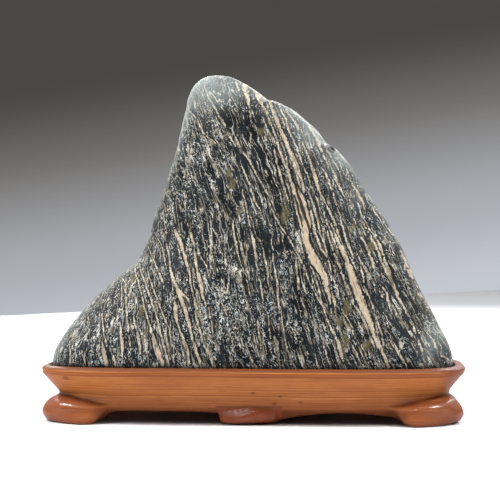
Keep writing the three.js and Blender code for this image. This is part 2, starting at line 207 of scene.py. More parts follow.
# Stone: cream veins, as points of (across the sheets, height, width) from the top down
VEINS = [
    # The dome
    [(-37, 177.5, 0.9), (-34, 172.5, 1.1), (-29, 169, 1.5), (-25, 163.5, 1.6), (-22, 159, 1.2),
     (-18.5, 156.5, 1.3), (-14.5, 154, 0.9), (-10.5, 149, 0.4)],
    [(-2.5, 156, 1.2), (0.5, 151, 1.2), (3.5, 146.5, 1.3), (6.5, 143.5, 1.3), (11.5, 134.5, 1.1),
     (18, 124.5, 1), (22, 118.5, 0.7)],
    [(3.5, 172.5, 0.5), (5.5, 164.5, 0.4), (9, 157, 0.3)],
    [(-25.6, 186.4, 0.7), (-20.7, 178.8, 1), (-16.9, 174.3, 1.2), (-14.1, 170.7, 0.9), (-11.5, 166.3, 1.9),
     (-8.4, 161.3, 0.7)],
    [(-32.3, 186.9, 0.6), (-26.3, 182.7, 1.1), (-23.8, 178.8, 0.6)],
    [(-12.5, 188.5, 0.6), (-4.9, 175.6, 0.7), (-3.1, 172.7, 0.4)],
    [(-9.4, 189.5, 0.8), (-5.3, 184.5, 1.5), (-3.3, 180.1, 0.7)],
    [(-4.8, 187.7, 1.9), (-2.1, 184, 2.7), (1.1, 178.6, 2.2), (3.4, 173.4, 1)],
    # Below the dome
    [(0.1, 185.3, 1.1), (9.1, 175, 1.2), (14.6, 165.5, 1.3), (18.6, 157.8, 1.2), (22.6, 147.8, 1.2),
     (24.9, 142.5, 1.1), (27.6, 137.3, 1.2)],
    [(3.7, 182.2, 0.9), (12.3, 170.7, 1), (17.1, 160.6, 0.8), (19.5, 154.9, 0.6)],
    [(17.9, 153.5, 0.7), (21.3, 142.2, 1.2), (24.5, 133.4, 1.3), (27.4, 125.9, 1.1), (30, 120.2, 0.5)],
    [(11.4, 178.3, 1.3), (18, 166.4, 2.1), (23.5, 156.3, 2.3), (27.7, 147.9, 2.1), (30.7, 141.9, 1.7),
     (33.6, 136.8, 1.3)],
    [(15.7, 167.5, 0.5), (20.8, 157.2, 0.7), (24.8, 148.1, 0.8), (26.7, 141.4, 1.1), (28.9, 134.6, 1.4),
     (31, 128.5, 1.9)],
    [(-5.7, 156.4, 0.9), (-2.3, 152.1, 1.1), (-0.9, 149.3, 0.6)],
    [(1.4, 142.2, 0.7), (4.8, 135.3, 1), (7.3, 130.3, 1.4), (9.6, 124.7, 1.8), (12, 119.7, 1.2),
     (14.7, 115.9, 0.5)],
    # The hump
    [(16, 176.5, 0.7), (22.5, 167, 1.1), (26.5, 158.5, 1.1), (30.5, 151.5, 1.2), (34, 144.5, 1),
     (36, 140, 0.5)],
    [(20.5, 173, 0.7), (25.5, 167.5, 0.9), (28.5, 164, 1.8), (30.5, 160, 0.8)],
    [(32, 165.5, 0.7), (38.5, 157, 1.1), (42.5, 150.5, 1.2), (45.5, 144.5, 1), (48, 140, 0.6)],
    [(36.5, 161.5, 0.7), (44, 152, 0.9), (47.5, 146.5, 0.8), (51, 141, 0.7), (53.5, 136.5, 0.4)],
    [(33.4, 153.5, 0.8), (36.6, 148.1, 1.2), (40.3, 140.2, 1.2), (42.1, 134.7, 2), (43.8, 129.7, 1.8),
     (45.8, 125.4, 1.1), (50.5, 116.8, 1.1), (54.2, 110, 1.1), (57.2, 102.7, 1.2), (59.4, 97.8, 0.9)],
    [(38.9, 149.3, 0.6), (43.2, 141.5, 0.8), (46.6, 136.6, 1.1), (48.7, 132.9, 1.2), (52.5, 123.6, 1),
     (54.9, 117.4, 0.8), (58.9, 106.4, 0.8), (61.7, 99.4, 0.5)],
    [(47.2, 143.3, 0.7), (52.2, 133.6, 1.2), (54.5, 128.6, 1.3), (57.2, 124.3, 1), (59.5, 119.8, 0.6)],
    # The widest vein and those beside it
    [(26.6, 148.7, 0.7), (30.1, 141.9, 1), (33.1, 134.6, 1.3), (35.2, 128.5, 1.4)],
    [(28.8, 148.1, 0.7), (32.6, 140.8, 1.1), (35.3, 133.5, 1.6), (37.3, 126.3, 1.6)],
    [(30.2, 131.3, 0.8), (32.3, 128, 3.6), (34.4, 123.6, 5.3), (36.7, 117.5, 6.6), (39, 111.4, 7.1),
     (40, 107, 5.7), (40.6, 102.1, 4.1), (41.9, 97.8, 3.7), (43.8, 94, 4.3), (45.7, 90.2, 5),
     (48.2, 86.2, 5.2), (51, 82.7, 4.3), (53.3, 78.4, 3.1), (54.5, 73.6, 2.6), (55.9, 69.9, 1.5),
     (57.3, 65.6, 0.9), (57.8, 60.3, 0.5)],
    [(42.1, 114.7, 1.1), (43.8, 109.8, 1.7), (45.2, 103.9, 1.6), (48, 98.5, 1.4), (49.6, 94.3, 1.1),
     (52.4, 91.3, 1), (54.5, 87.1, 0.9), (55.9, 81.7, 0.5)],
    [(57.3, 70.9, 0.5), (58.8, 67.8, 1.7), (59.5, 65.1, 1.5), (60.4, 62.5, 0.5)],
    [(39.6, 125.8, 0.5), (41.2, 121.9, 1), (43.9, 116.2, 1.1), (46.5, 108.8, 1.1), (47.6, 103.9, 0.9),
     (51.2, 96.7, 0.8), (53, 92.9, 0.5)],
    [(35.5, 140.7, 0.7), (38.2, 135.8, 1), (41, 128.4, 0.9), (45.1, 120.4, 0.8), (46.7, 115.8, 0.5)],
    [(48.5, 114.2, 0.5), (51.2, 108.2, 0.9), (54.4, 101.6, 0.9), (57.8, 95.1, 0.7)],
    [(20.8, 116.8, 0.7), (24.7, 110, 1.1), (29.4, 103.9, 1.1), (33.7, 97.9, 1.1), (37.3, 92.5, 1),
     (41.5, 85.4, 1), (44.6, 78.2, 0.9), (48.8, 71.1, 0.8), (53.2, 64.1, 0.7), (55.1, 60.3, 0.5)],
    [(51.3, 68.8, 0.5), (52.5, 66.4, 1), (56, 57, 1.1), (60.1, 49.4, 1), (60.7, 48.5, 0.5)],
    [(59.8, 50.9, 0.7), (61.4, 47.7, 1.6), (62.7, 44.7, 1.8), (63.9, 40, 2.3), (65.7, 34.7, 1.1)],
    # The second widest vein and those beside it
    [(53.3, 107.6, 0.8), (57, 99.8, 1.6), (60.5, 94.3, 2.7), (63.4, 87.7, 2.6), (65.3, 83.5, 3.5),
     (67.7, 77.5, 4.1), (70.5, 70.4, 4.3), (73.3, 64.5, 4), (76.9, 57.5, 3.2), (79.6, 51, 2.6),
     (82.5, 44.6, 1.8), (85.8, 38.8, 1.2), (88.6, 31.7, 1)],
    [(51.5, 103.9, 0.7), (55.5, 94.3, 0.9), (60.3, 84.1, 1), (64.9, 72.2, 1), (68.3, 65.7, 1),
     (72.1, 61, 1), (76, 53.9, 1.5), (78.9, 47, 1.4), (81.7, 42.3, 0.7)],
    [(62.2, 80, 0.5), (65.2, 74, 0.7), (69.5, 64.5, 0.7), (71.4, 60.3, 0.5)],
    [(49.2, 103.9, 0.5), (52.2, 93.1, 0.8), (55.2, 84.7, 0.6)],
    [(58.2, 107.6, 0.7), (61.4, 100.4, 1.1), (63.7, 94.9, 1.1), (66.3, 90.1, 0.7)],
    [(67.8, 91.3, 0.5), (70.5, 87, 1.1), (72.4, 84.7, 1.7), (73.5, 82.1, 0.5)],
    [(69.8, 86.4, 0.5), (71.4, 82.1, 0.8), (73.5, 74, 0.8), (77.4, 65.6, 0.8), (81.4, 56.2, 0.9),
     (84.9, 48.1, 0.7)],
    [(63.4, 111, 0.6), (65.8, 106.5, 1), (68.7, 101, 1.1), (73.6, 92.5, 1.4), (76, 85.9, 1.3),
     (79.7, 79.9, 0.8)],
    [(68.6, 107.7, 0.7), (72, 102.2, 1.2), (76.2, 96.1, 1.3), (79.7, 87.6, 1.2), (83.7, 80.4, 1.4),
     (88.1, 71.3, 0.8)],
    [(75.6, 100.6, 0.5), (78.2, 95.6, 1.6), (80.5, 89.6, 1), (82.7, 83.4, 2.1), (86, 76.2, 1.3),
     (89.4, 68.4, 1.6), (91.6, 63.7, 0.5)],
    [(81.1, 53.9, 0.6), (83.6, 44.6, 0.8), (86.7, 38.2, 1), (89.4, 31.8, 0.7)],
    # The right edge
    [(50, 148, 0.6), (56.5, 140.5, 1), (62, 131.5, 1.1), (65, 126.5, 0.7)],
    [(84, 77, 0.5), (87.5, 72, 1.1), (90.5, 66.5, 1.2), (93, 62.5, 1.1), (96.5, 56.5, 1.1), (100, 49.5, 1),
     (103, 43.5, 0.5)],
    [(84, 97.5, 0.8), (87, 90.5, 1.7), (90, 83.5, 2), (94.5, 75.5, 1.9), (97.5, 68.5, 1.7),
     (101, 62.5, 1.4), (105, 56, 0.8)],
    [(88.5, 47.5, 0.5), (92.5, 41.5, 1), (96, 35.5, 1), (98, 31.5, 0.7)],
    [(98.5, 52, 0.5), (103.5, 42.5, 1), (106.5, 34, 0.9)],
    [(105, 49, 0.5), (108, 45.5, 1.1), (112, 37.5, 0.8)],
    [(55.9, 135.7, 0.6), (60, 129.5, 1), (63.4, 123.9, 1.2), (67.3, 117.2, 0.9)],
    [(81.7, 74, 0.5), (83.3, 71.3, 1.4), (86, 64.3, 1.2), (87.6, 60.6, 0.5)],
    [(88.3, 46.5, 0.5), (91.1, 42.3, 0.9), (94.6, 36.9, 0.9), (96.7, 32.3, 0.5)],
    # The middle
    [(-16, 66, 0.5), (-15, 63, 2.4), (-14, 57.5, 1.8), (-11.5, 51, 1.1), (-10, 44.5, 0.5)],
    [(-25, 105, 0.6), (-21.5, 97, 1), (-20, 89.5, 1), (-16.5, 81.5, 1.4), (-14.5, 77, 2.7),
     (-12.5, 71, 2.2), (-9.5, 64.5, 0.8)],
    [(-16.5, 90, 0.5), (-12.5, 85.5, 1.1), (-9.5, 79, 0.5)],
    [(0, 109.5, 0.8), (0.5, 105, 1.4), (2.5, 98.5, 1.4), (4, 93, 0.8), (7, 86.5, 0.5), (11.5, 80, 0.6),
     (13, 73, 0.6), (14.5, 69, 0.4)],
    [(4, 126.5, 0.5), (6.5, 118.5, 0.7), (10.5, 105, 1), (13.5, 96.5, 1.5), (15.5, 88.5, 1.5), (18, 81, 1),
     (20, 74, 1.1), (21.5, 67.5, 0.8)],
    [(19, 93, 0.8), (22, 84, 1.3), (24, 74.5, 0.5)],
    [(19.5, 56.5, 0.5), (21, 48.5, 1.2), (22.5, 39, 0.5)],
    [(25, 59, 0.5), (26, 53.5, 0.9), (27, 47.5, 0.5)],
    [(31.5, 63, 0.5), (33.5, 52.5, 1.1), (36, 42, 0.5)],
    [(16, 37.5, 0.5), (17.5, 34.5, 1.5), (20, 30.5, 1.4)],
    [(-8, 63, 0.5), (-5.5, 54.5, 1.2), (-3.5, 46.5, 0.5)],
    [(-9, 47, 0.5), (-7, 42.5, 1.4), (-5.5, 38.5, 1.6), (-4, 32.5, 1.1)],
    [(37.2, 87.5, 0.6), (38.3, 83.2, 1.5), (39.6, 77, 1.3), (40.5, 71.1, 1.1), (43.3, 65.1, 0.7),
     (45.4, 60.4, 0.5)],
    [(22.4, 100.5, 0.5), (25.2, 87.1, 0.9), (28.4, 77, 1.2), (30.3, 64.1, 1), (31, 60.9, 0.5)],
    [(45, 85.4, 0.5), (47, 81.7, 0.8), (50.1, 74, 0.9), (52.5, 65.8, 1), (55.1, 62.3, 0.9),
     (56.4, 59.8, 0.5)],
    [(62.9, 63, 0.5), (65, 59.3, 1), (67.5, 55.6, 0.9), (69.4, 52.4, 0.5)],
    [(68.9, 45.2, 0.6), (72.7, 38.8, 0.9), (74.4, 33.5, 0.6)],
    [(74.7, 43, 0.5), (77, 38.8, 0.8), (79, 33.5, 0.5)],
    # The lower left
    [(-35, 104.5, 2.5), (-31.5, 100.5, 2.5), (-29, 96, 2.2), (-25.5, 89, 2.2), (-22, 82.5, 1.4),
     (-20, 76, 1.1), (-17, 69, 0.8), (-14.5, 63, 0.5)],
    [(-39.4, 97.3, 0.7), (-38, 94.6, 1.8), (-35.4, 88.5, 1), (-33.8, 83.7, 1.4), (-31, 78.3, 2),
     (-25.5, 70.3, 2.9), (-20.6, 61, 2.4), (-17.7, 53.7, 2.1), (-15, 45.1, 1.7), (-11.3, 35.1, 1.6),
     (-10.3, 31.4, 1.1)],
    [(-24.9, 71, 1.4), (-22.3, 69.4, 1.8), (-20.1, 67.5, 1.6), (-18.8, 64.3, 0.6)],
    [(-27.8, 66.4, 0.6), (-26.8, 63.2, 2.6), (-25.9, 58.4, 2.3), (-23.7, 53.1, 1), (-21.4, 48.4, 1.4),
     (-18.1, 41.1, 2.1), (-16.7, 33.1, 1.6)],
    [(-16.7, 67.6, 0.6), (-15.5, 64.9, 2.2), (-14, 57.7, 1.5), (-11.2, 49.8, 1.4), (-8.8, 43.1, 1.7),
     (-6.6, 38.5, 0.9)],
    [(-26.8, 107.8, 0.7), (-22.4, 98.1, 1), (-18.1, 85.8, 1.3), (-14.3, 75.1, 1.9), (-12, 69.7, 0.8)],
    # The left shoulder
    [(-65.8, 86.7, 0.7), (-61.4, 84.9, 1.3), (-54.4, 77.4, 1.1), (-49.2, 70, 1), (-44.5, 60.7, 1.1),
     (-40, 52.1, 1.2), (-37, 45.5, 2.4), (-34.1, 38.9, 3.5), (-31, 32.3, 2.7)],
    [(-63.7, 88.6, 0.8), (-58.5, 86.3, 1.2), (-49.8, 77.5, 1.4), (-42.9, 68.1, 1.4), (-37.2, 57.5, 1.2),
     (-32.7, 46.9, 1.2), (-28.2, 34.3, 1.2), (-27.7, 31.3, 0.8)],
    [(-50.2, 83.5, 0.6), (-48.7, 81.6, 1), (-40.2, 70.1, 1.3), (-33.6, 58.9, 1), (-28.9, 51.6, 1),
     (-26.6, 43, 1.1), (-24.8, 33.7, 1.1)],
    [(-57.7, 98, 0.6), (-55.3, 96.1, 1), (-46.5, 87.7, 1.1), (-41.1, 81.9, 1.2), (-38.2, 78.3, 1.7),
     (-36.5, 75.5, 0.5)],
    [(-54.5, 106.4, 0.6), (-51.4, 103.8, 0.9), (-43.1, 96.8, 1.1), (-39.5, 89.9, 1), (-36.4, 84.1, 0.5)],
    # The left lobe
    [(-89, 44, 0.5), (-85.5, 38.5, 1.6), (-84.5, 32, 1.3)],
    [(-103.2, 42.7, 0.6), (-102.6, 38, 1.4), (-102, 33.6, 0.5)],
    [(-93.5, 62.1, 0.6), (-92.6, 55, 1.3), (-91.8, 48.4, 0.5)],
    [(-97, 40.4, 0.6), (-96, 35, 1.4), (-94.6, 31.3, 0.7)],
    [(-83.5, 58, 1.3), (-76.5, 52, 0.5)],
    [(-74.2, 79.1, 1), (-67.5, 78.4, 1.5), (-62.4, 75.7, 1.3), (-58.3, 66.6, 1.1), (-53.6, 54.7, 1.1),
     (-49.6, 42.8, 1)],
    [(-65.7, 75.6, 0.7), (-62.7, 70.8, 1), (-60.1, 63.9, 0.8)],
    [(-50.8, 57.6, 0.5), (-49.8, 55.3, 1), (-46.4, 48.1, 1.3), (-44.4, 41.5, 1.6), (-43.6, 38.1, 0.6)],
    [(-58.4, 54.9, 0.5), (-56.7, 51.3, 1.3), (-54.9, 45.4, 2.1), (-53.6, 40.1, 1.8), (-53.2, 35.9, 0.8)],
    [(-75.9, 64.6, 0.6), (-72, 59.6, 0.9), (-64.8, 46.6, 1), (-62.9, 42.7, 0.5)],
    [(-65.6, 43.2, 0.8), (-64.4, 40.6, 2.2), (-62.8, 34.7, 2.5), (-62.3, 30.9, 1.6)],
    [(-60.4, 40.1, 0.6), (-59.1, 38, 1.5), (-57.2, 32.1, 1.3)],
]

# Stone: dark cracks in the widest vein, as points like those of the veins
CRACKS = [
    [(33.2, 126.6, 1.1), (35.3, 121.7, 1.5), (37.4, 116.8, 1.8), (39.9, 111.3, 1.5), (42, 106, 0.9)],
    [(31.6, 131.8, 0.7), (33.2, 127.4, 1.3), (33.8, 125.2, 0.7)],
    [(32.5, 123.5, 0.6), (34.6, 118.5, 1.1), (36.8, 112, 1.2), (38.6, 107, 0.6)],
    [(42.6, 105.2, 0.6), (43.2, 101, 1.1), (44.8, 96.5, 0.8)],
]

# Stone: olive patches, as (across, height, half width, half height)
OLIVE_PATCHES = [
    (10.7, 159.8, 2.2, 2.4), (-5, 137, 2, 3), (-2.3, 130.5, 2.2, 3.4), (28.5, 114, 2.6, 6.5),
    (65.5, 63, 2, 5.5), (66, 45, 2.4, 5), (77.5, 43.5, 2.4, 3.4), (-47, 61, 2, 5), (-58, 78, 2, 3),
    (-42.5, 50, 1.8, 2.4), (3, 115, 2, 3), (63.7, 106, 1.8, 3), (74, 96, 2, 5), (62.4, 55.7, 2, 3),
]

# Stone: where the pale flecks are dense (positive) or thin (negative)
FLECK_ZONES = [
    (-80, 45, 32, 26, 0.4), (-20, 50, 34, 20, 0.4), (-40, 110, 14, 30, 0.3), (80, 45, 30, 26, 0.2),
    (-22, 182, 15, 12, -0.9), (-2, 165, 12, 14, -0.8), (9, 147, 10, 24, -1.6), (23, 120, 8, 22, -1.3),
    (-3, 121, 8, 20, -0.7), (38, 57, 20, 20, -0.9), (7, 75, 14, 22, -0.4), (90, 58, 12, 14, -0.6),
    (58, 150, 8, 12, 0.4), (48, 88, 5, 8, -0.8), (62, 104, 14, 20, -0.5), (-6, 108, 20, 20, -0.7),
    (6, 54, 24, 20, 0.9),
]

# Stone: edges painted paler as a painted sheen where light grazes them, as (across, height, half width, half
# height, strength)
EDGE_SHEEN_PATCHES = [
    (-38, 180, 5, 16, 1.4), (-30, 192, 9, 5, 0.9), (-44, 160, 4, 14, 0.9), (38, 163, 9, 12, 0.8),
    (24, 173, 8, 5, 0.6), (52, 146, 6, 8, 0.7), (-52, 138, 4, 14, 0.4), (-98, 60, 9, 12, 0.6),
    (-107, 38, 9, 12, 1), (-108, 42, 5, 12, 0.4), (108, 44, 4, 14, 0.5), (62, 130, 4, 14, 0.3),
    (-60, 118, 4, 14, 0.3), (-25, 183, 15, 11, 0.7), (-8, 184, 14, 8, 0.35),
]

# Stone: veins are drawn in tracks, with one curve for the middle line and one for the width. The curves run
# from 0 to 1 inside a frame in millimetres, and "ends" are the widths at which a track is cut off.
TRACK = {
    "left": -130, "width": 260, "bottom": 20, "height": 180, "thickest": 20, "gap": 5, "taper": 0.009,
    "ends": (0.012, 0.002), "end_drop": 3, "outside": -50.0,
}

# Looks: patterns of soft noise, with the size of their cells in millimetres along each axis. "edge" says
# where a pattern passes from 0 to 1, and "swing" what it runs between.
PATTERNS = {
    "wandering": {"cells": (9, 14, 8), "swing": (-1.5, 1.5)},
    "small steps": {"cells": (2.6, 4, 2.4), "swing": (-0.5, 0.5)},
    "ragged veins": {"cells": (0.7, 2.4, 1.3), "roughness": 0.65, "swing": (-1.05, 0.85)},
    "vein gaps": {"cells": (2.4, 4, 4.5), "detail": 1.5, "edge": (0.56, 0.68)},
    "jagged veins": {"cells": (3, 6, 3.2), "swing": (-0.6, 0.6)},
    "vein clouds": {"cells": (2.6, 4, 4), "detail": 2.5, "edge": (0.38, 0.6)},
    "vein threads": {"cells": (0.8, 2, 9), "edge": (0.56, 0.63)},
    "crumbs": {"cells": (0.7, 1.2, 0.9), "detail": 1.0, "edge": (0.4, 0.54)},
    "darker rock": {"cells": (9, 16, 26), "edge": (0.35, 0.65)},
    "flecks": {"cells": (0.62, 1.1, 1.05), "detail": 1.2, "roughness": 0.6},
    "fleck limit": {"cells": (4.5, 6, 10), "swing": (0.85, 0.4)},
    "fleck tints": {"cells": (1.4, 2, 2.4), "edge": (0.38, 0.64)},
    "warm flecks": {"cells": (5, 6, 8), "edge": (0.5, 0.62)},
    "curls": {"cells": (1.2, 2, 2.1), "detail": 1.0},
    "broken curls": {"cells": (1.6, 2.5, 2.2), "edge": (0.47, 0.54)},
    "streaks": {"cells": (0.9, 3, 7), "detail": 2.5, "roughness": 0.6},
    "broken streaks": {"cells": (6, 8, 16), "edge": (0.45, 0.54)},
    "thin lines": {"cells": (3.6, 11, 52), "detail": 1.0, "edge": (0.034, 0.014)},
    "broken thin lines": {"cells": (6, 9, 9), "edge": (0.42, 0.5)},
    "hair lines": {"cells": (2.1, 8, 40), "detail": 1.5, "edge": (0.03, 0.01)},
    "broken hair lines": {"cells": (3.5, 6, 6), "edge": (0.47, 0.55)},
    "streak tints": {"cells": (4, 5, 7), "edge": (0.42, 0.6)},
    "olive edges": {"cells": (2.2, 3, 3), "swing": (-0.45, 0.45)},
    "edge sheen grain": {"cells": (0.8, 1.2, 1.2), "detail": 1.5, "swing": (0.05, 0.95)},
    "fine grain": {"cells": (0.9, 0.9, 1.1), "detail": 3.0, "roughness": 0.6},
    "stone roughness": {"cells": (3, 4, 6), "swing": (0.45, 0.61)},
    "ripples": {"cells": (16, 12, 4), "swing": (-0.2, 0.2)},
    "waving layers": {"cells": (90, 50, 40), "swing": (-1.5, 1.5)},
    "growth layers": {"cells": (1, 1, 1.1), "roughness": 0.6, "edge": (0.34, 0.64)},
    "fibres": {"cells": (9, 9, 0.45), "roughness": 0.6, "edge": (0.5, 0.7)},
    "grain lines": {"cells": (60, 60, 0.7), "detail": 1.5, "roughness": 0.6, "edge": (0.54, 0.66)},
    "wood clouds": {"cells": (38, 30, 9), "edge": (0.45, 0.75)},
    "patchy rim shade": {"cells": (16, 16, 40), "swing": (0.2, 0.8)},
    "wood pits": {"cells": (1.3, 1.3, 1.0), "detail": 1.0, "edge": (0.68, 0.75)},
    "dimples": {"cells": (1.5, 1.5, 1.3), "detail": 1.5},
}
PLAIN_NOISE = {"Scale": 1.0, "Detail": 2.0, "Roughness": 0.5}

# Stone: colours, and what is laid over them as (colour, share)
ROCK_TINTS = ("07090c", "141a1f")
FLECK_TINTS = ("707b82", "d2d5cf")
STREAK_TINTS = ("8d8472", "cac5b7")
OLIVE_TINTS = ("46412b", "5f573a")
VEIN_TINTS = ("988c78", "c6bca8")
SHEEN_TINT = "e4ebe6"
WARM_FLECKS = ("cabb9f", 0.55)
VEIN_CORE = ("b7a38a", 1)
VEIN_THREADS = ("4a4239", 0.75)
CRACK = ("14110f", 0.95)
PAINTED_EDGE_SHEEN = ("a2acaa", 1)
PAINTED_FOOT_SHADOW = ("0c0b0a", 0.6)
# Stone: painted shade that darkens the pit
PAINTED_PIT_SHADE = ("0a0a0b", 1)
FLECK_SHARE = 0.85
STREAK_SHARE = 0.85
HAIR_SHARE = 0.8
OLIVE_SHARE = 0.8
VEIN_SHARE = (0.56, 0.96)

# Stone: how far inside a vein or a crack, in millimetres, its colours show and the rock turns plainer
VEIN_EDGE = (-0.22, 0.15)
VEIN_CORE_EDGE = (0.1, 1.3)
VEIN_CORE_CLOUDS = (0.3, 0.5)
VEIN_GAP_DEPTH = 0.5
BESIDE_VEIN_EDGE = (-1.5, -0.5)
BESIDE_VEIN_SHARE = 0.75
CRACK_EDGE = (-0.3, 0.05)

# Stone: the heights between which a painted shadow darkens its foot, just above the rim
FOOT_SHADOW_EDGE = (33.5, 30.8)

# Stone: where olive patches, flecks, curls and streaks begin, and how far their zones change that
OLIVE_EDGE = (0.3, 0.75)
OLIVE_GRAIN = (0.4, 0.6)
FLECK_EDGE = (0.03, 0.06)
FLECK_ZONE_EFFECT = 0.05
FLECK_VEIN_EFFECT = 0.12
CURL_LIMIT = {"by flecks": -0.45, "even": 0.312, "softness": 0.02}
STREAK_EDGE = (0.6, 0.64)
STREAK_ZONE_EFFECT = -0.02
STREAK_BETWEEN_CRUMBS = 0.3

# Stone: surface. The bump is (depth in metres, strength).
STONE_RELIEF = {"grain": 0.35, "veins": 0.3}
STONE_BUMP = (0.22 * MM, 0.6)
VEIN_ROUGHNESS = 0.06
STONE_SURFACE = {"Specular IOR Level": 0.12, "Sheen Weight": 0.08, "Sheen Roughness": 0.4}

# Wood: colours, and what is laid over them as (colour, share)
WOOD_TINTS = ("aa5d2c", "df914e")
GRAIN_LINES = ("8a4519", 0.4)
FIBRES = ("8a4519", 0.35)
WOOD_CLOUDS = ("a5562a", 0.4)
# Wood: painted shade in the waist, the creases, under and on top of the rim, low on the wall and at the
# aprons' lower edges, and the darker ends and feet
PAINTED_SHADE_AND_TONES = {
    "waist near the ends": ("7a3210", 0.7),
    "crease above the corner feet": ("5a240e", 0.75),
    "left end": ("864626", 0.3),
    "right end": ("864626", 0.95),
    "low wall and feet": ("904a26", 1),
    "middle feet": ("964420", 0.7),
    "edges of the aprons": ("5a2c16", 0.6),
    "under the rim": ("8c3c1c", 1),
    "top of the rim": ("5e2c14", 0.85),
    "crease above the middle feet": ("5a2a14", 0.6),
}
LOW_SHADE_AND_FEET_TONE = {"wall": 0.65, "feet": 0.75}
WOOD_PITS = ("4a2414", 0.6)
# Wood: painted shade that slightly darkens the front side
PAINTED_FRONT_SHADE = ("45241a", 0.332)
DARK_SPECKS = ("45241a", 0.6)

# Wood: areas, by the soft edges between 0 and 1 along each measure, in millimetres
WOOD_AREAS = {
    "waist near the ends": {"off the waist": (2.6, 0.4), "far x": (92, 104)},
    "crease above the corner feet": {"off the corner crease": (1.0, 0.1), "far x": (76, 84)},
    "crease above the middle feet": {"off the middle crease": (1.0, 0.2), "far x": (19, 17)},
    "left end": {"x": (-100, -112)},
    "right end": {"x": (98, 110)},
    "low wall": {"z": (14.5, 7.5)},
    "edges of the aprons": {"z": (8.8, 6.6)},
    "under the rim": {"off the rim": (1.9, 0.2)},
    "top of the rim": {"z": (28.4, 29.6)},
    "middle feet": {"z": (9.8, 8.4), "far x": (18, 16.5)},
    "corner feet": {"z": (14.4, 12.5), "far x": (74, 90)},
    "shoulders": {"z": (8.4, 10), "far x": (107, 103)},
    "right of the flat's start": {"x": (-12.5, -9)},
    "left of the flat's end": {"x": (4, -1)},
}
WAIST_HEIGHT = 15.4
CREASE_RISE = (79, 106)
CREASE_HEIGHTS = (10.6, 15.1)
MIDDLE_CREASE_HEIGHT = 9.6
RIM_SHADE_HEIGHT = 26.9
FRONT_SHADE_EDGE = (-20, -30)

# Wood: surface. The dimples are deeper on the feet than elsewhere. The bump is (depth in metres, strength).
WOOD_RELIEF = {"grain": 0.3, "pits": 0.8}
DIMPLE_DEPTHS = (0.1, 1.7)
WOOD_BUMP = (0.14 * MM, 0.7)
WOOD_ROUGHNESS = (0.42, 0.56)

# Wood: varnish. The feet's gloss runs up to that of their shoulders, and is added to the least gloss.
FEET_GLOSS = (0.2, 0.78)
FLAT_GLOSS = 0.35
LEAST_GLOSS = 0.06
WOOD_SURFACE = {"Specular IOR Level": 0.13, "Coat Roughness": 0.15}

# Wood: dark specks and a faint knot on the front wall, as (x, z, size)
SPECKS = [(2.3, 17.4, 1.0), (16.8, 15.7, 0.9), (13.6, 11.5, 1.1), (27.5, 12.5, 0.9), (-99.5, 24.9, 1.6)]
SPECK_STRETCH = 1.8
SPECK_CORE = 0.3

# Stage: the floor, as (to the right of the camera, ahead of it). Its far edge runs slantwise.
FLOOR_OUTLINE = [(-1300, -1500), (3000, -1500), (3000, 4597), (1530, 4597), (-1300, 700)]
FLOOR_TINT = "d9dade"
FLOOR_ROUGHNESS = 0.9

# Stage: the backdrop, which glows with painted light, and its shades as (colour, from, to) with the height
# in metres
BACKDROP = {
    "ahead": 5000, "half_width": 3500, "low": -800, "high": 3000, "slant": -0.15, "lowest": "c4c8cf",
}
BACKDROP_SHADES = [("acaeb4", -0.1, 0.2), ("787674", 0.15, 0.6), ("4a4845", 0.45, 0.85)]

# Lights: softboxes as (name, place, target, size, power) in metres and watts, and the even light around
SOFTBOXES = [
    ("left softbox", (-0.84, -0.46, 0.98), (0, 0, 0.06), (0.6, 0.6), 5.2),
    ("right softbox", (0.82, -0.46, 1.0), (0, 0, 0.06), (0.6, 0.6), 3.5),
    ("left high softbox", (-0.72, -0.24, 1.03), (0, 0, 0.03), (0.3, 0.24), 11.5),
    ("right high softbox", (0.68, -0.28, 1.03), (0, 0, 0.03), (0.3, 0.24), 10),
    ("front softbox", (-0.22, -0.72, 0.98), (0, 0, 0.03), (0.2, 0.2), 1.6),
    ("left back window", (-0.7, 0.8, 0.72), (0, 0, 0.13), (0.9, 0.9), 2.5),
    ("right back window", (0.7, 0.8, 0.72), (0, 0, 0.13), (0.9, 0.9), 2.5),
    ("back window", (0, 1.25, 0.82), (0, 0, 0.17), (1.7, 0.3), 23),
]
SKY_LIGHT = {"power": 1.95, "spread": 50, "lean": -18}
ROOM_LIGHT = 0.25
ROOM_TINT = "d2d2d0"


def colour(code):
    """A colour written as six hexadecimal digits, as linear red, green, blue and alpha."""
    parts = [int(code[i:i + 2], 16) / 255 for i in (0, 2, 4)]
    linear = [c / 12.92 if c <= 0.04045 else ((c + 0.055) / 1.055) ** 2.4 for c in parts]
    return (*linear, 1.0)


def smoothstep(x, low, high):
    """0 up to low, 1 from high on, and a soft change between them."""
    t = np.clip((x - low) / (high - low), 0, 1)
    return t * t * (3 - 2 * t)


def smooth_min(a, b, reach):
    """The lesser of two fields, with a rounded passage between them."""
    share = np.clip(0.5 + 0.5 * (b - a) / reach, 0, 1)
    return b + (a - b) * share - reach * share * (1 - share)


def smooth_max(a, b, reach):
    return -smooth_min(-a, -b, reach)


def lattice_noise(points, sizes, seed):
    """Smooth noise from -1 to 1 at each point, with its own cell size along each axis."""
    values = np.random.default_rng(seed).uniform(-1, 1, (NOISE_CELLS,) * 3)
    place = points / np.asarray(sizes, float)
    low = np.floor(place).astype(int)
    part = place - low
    part = part * part * (3 - 2 * part)
    total = np.zeros(len(points))
    for corner in np.ndindex(2, 2, 2):
        corner = np.array(corner)
        index = (low + corner) % NOISE_CELLS
        weight = np.prod(np.where(corner == 1, part, 1 - part), axis=1)
        total += weight * values[index[:, 0], index[:, 1], index[:, 2]]
    return total


def add_object(name, data):
    made = bpy.data.objects.new(name, data)
    bpy.context.scene.collection.objects.link(made)
    return made


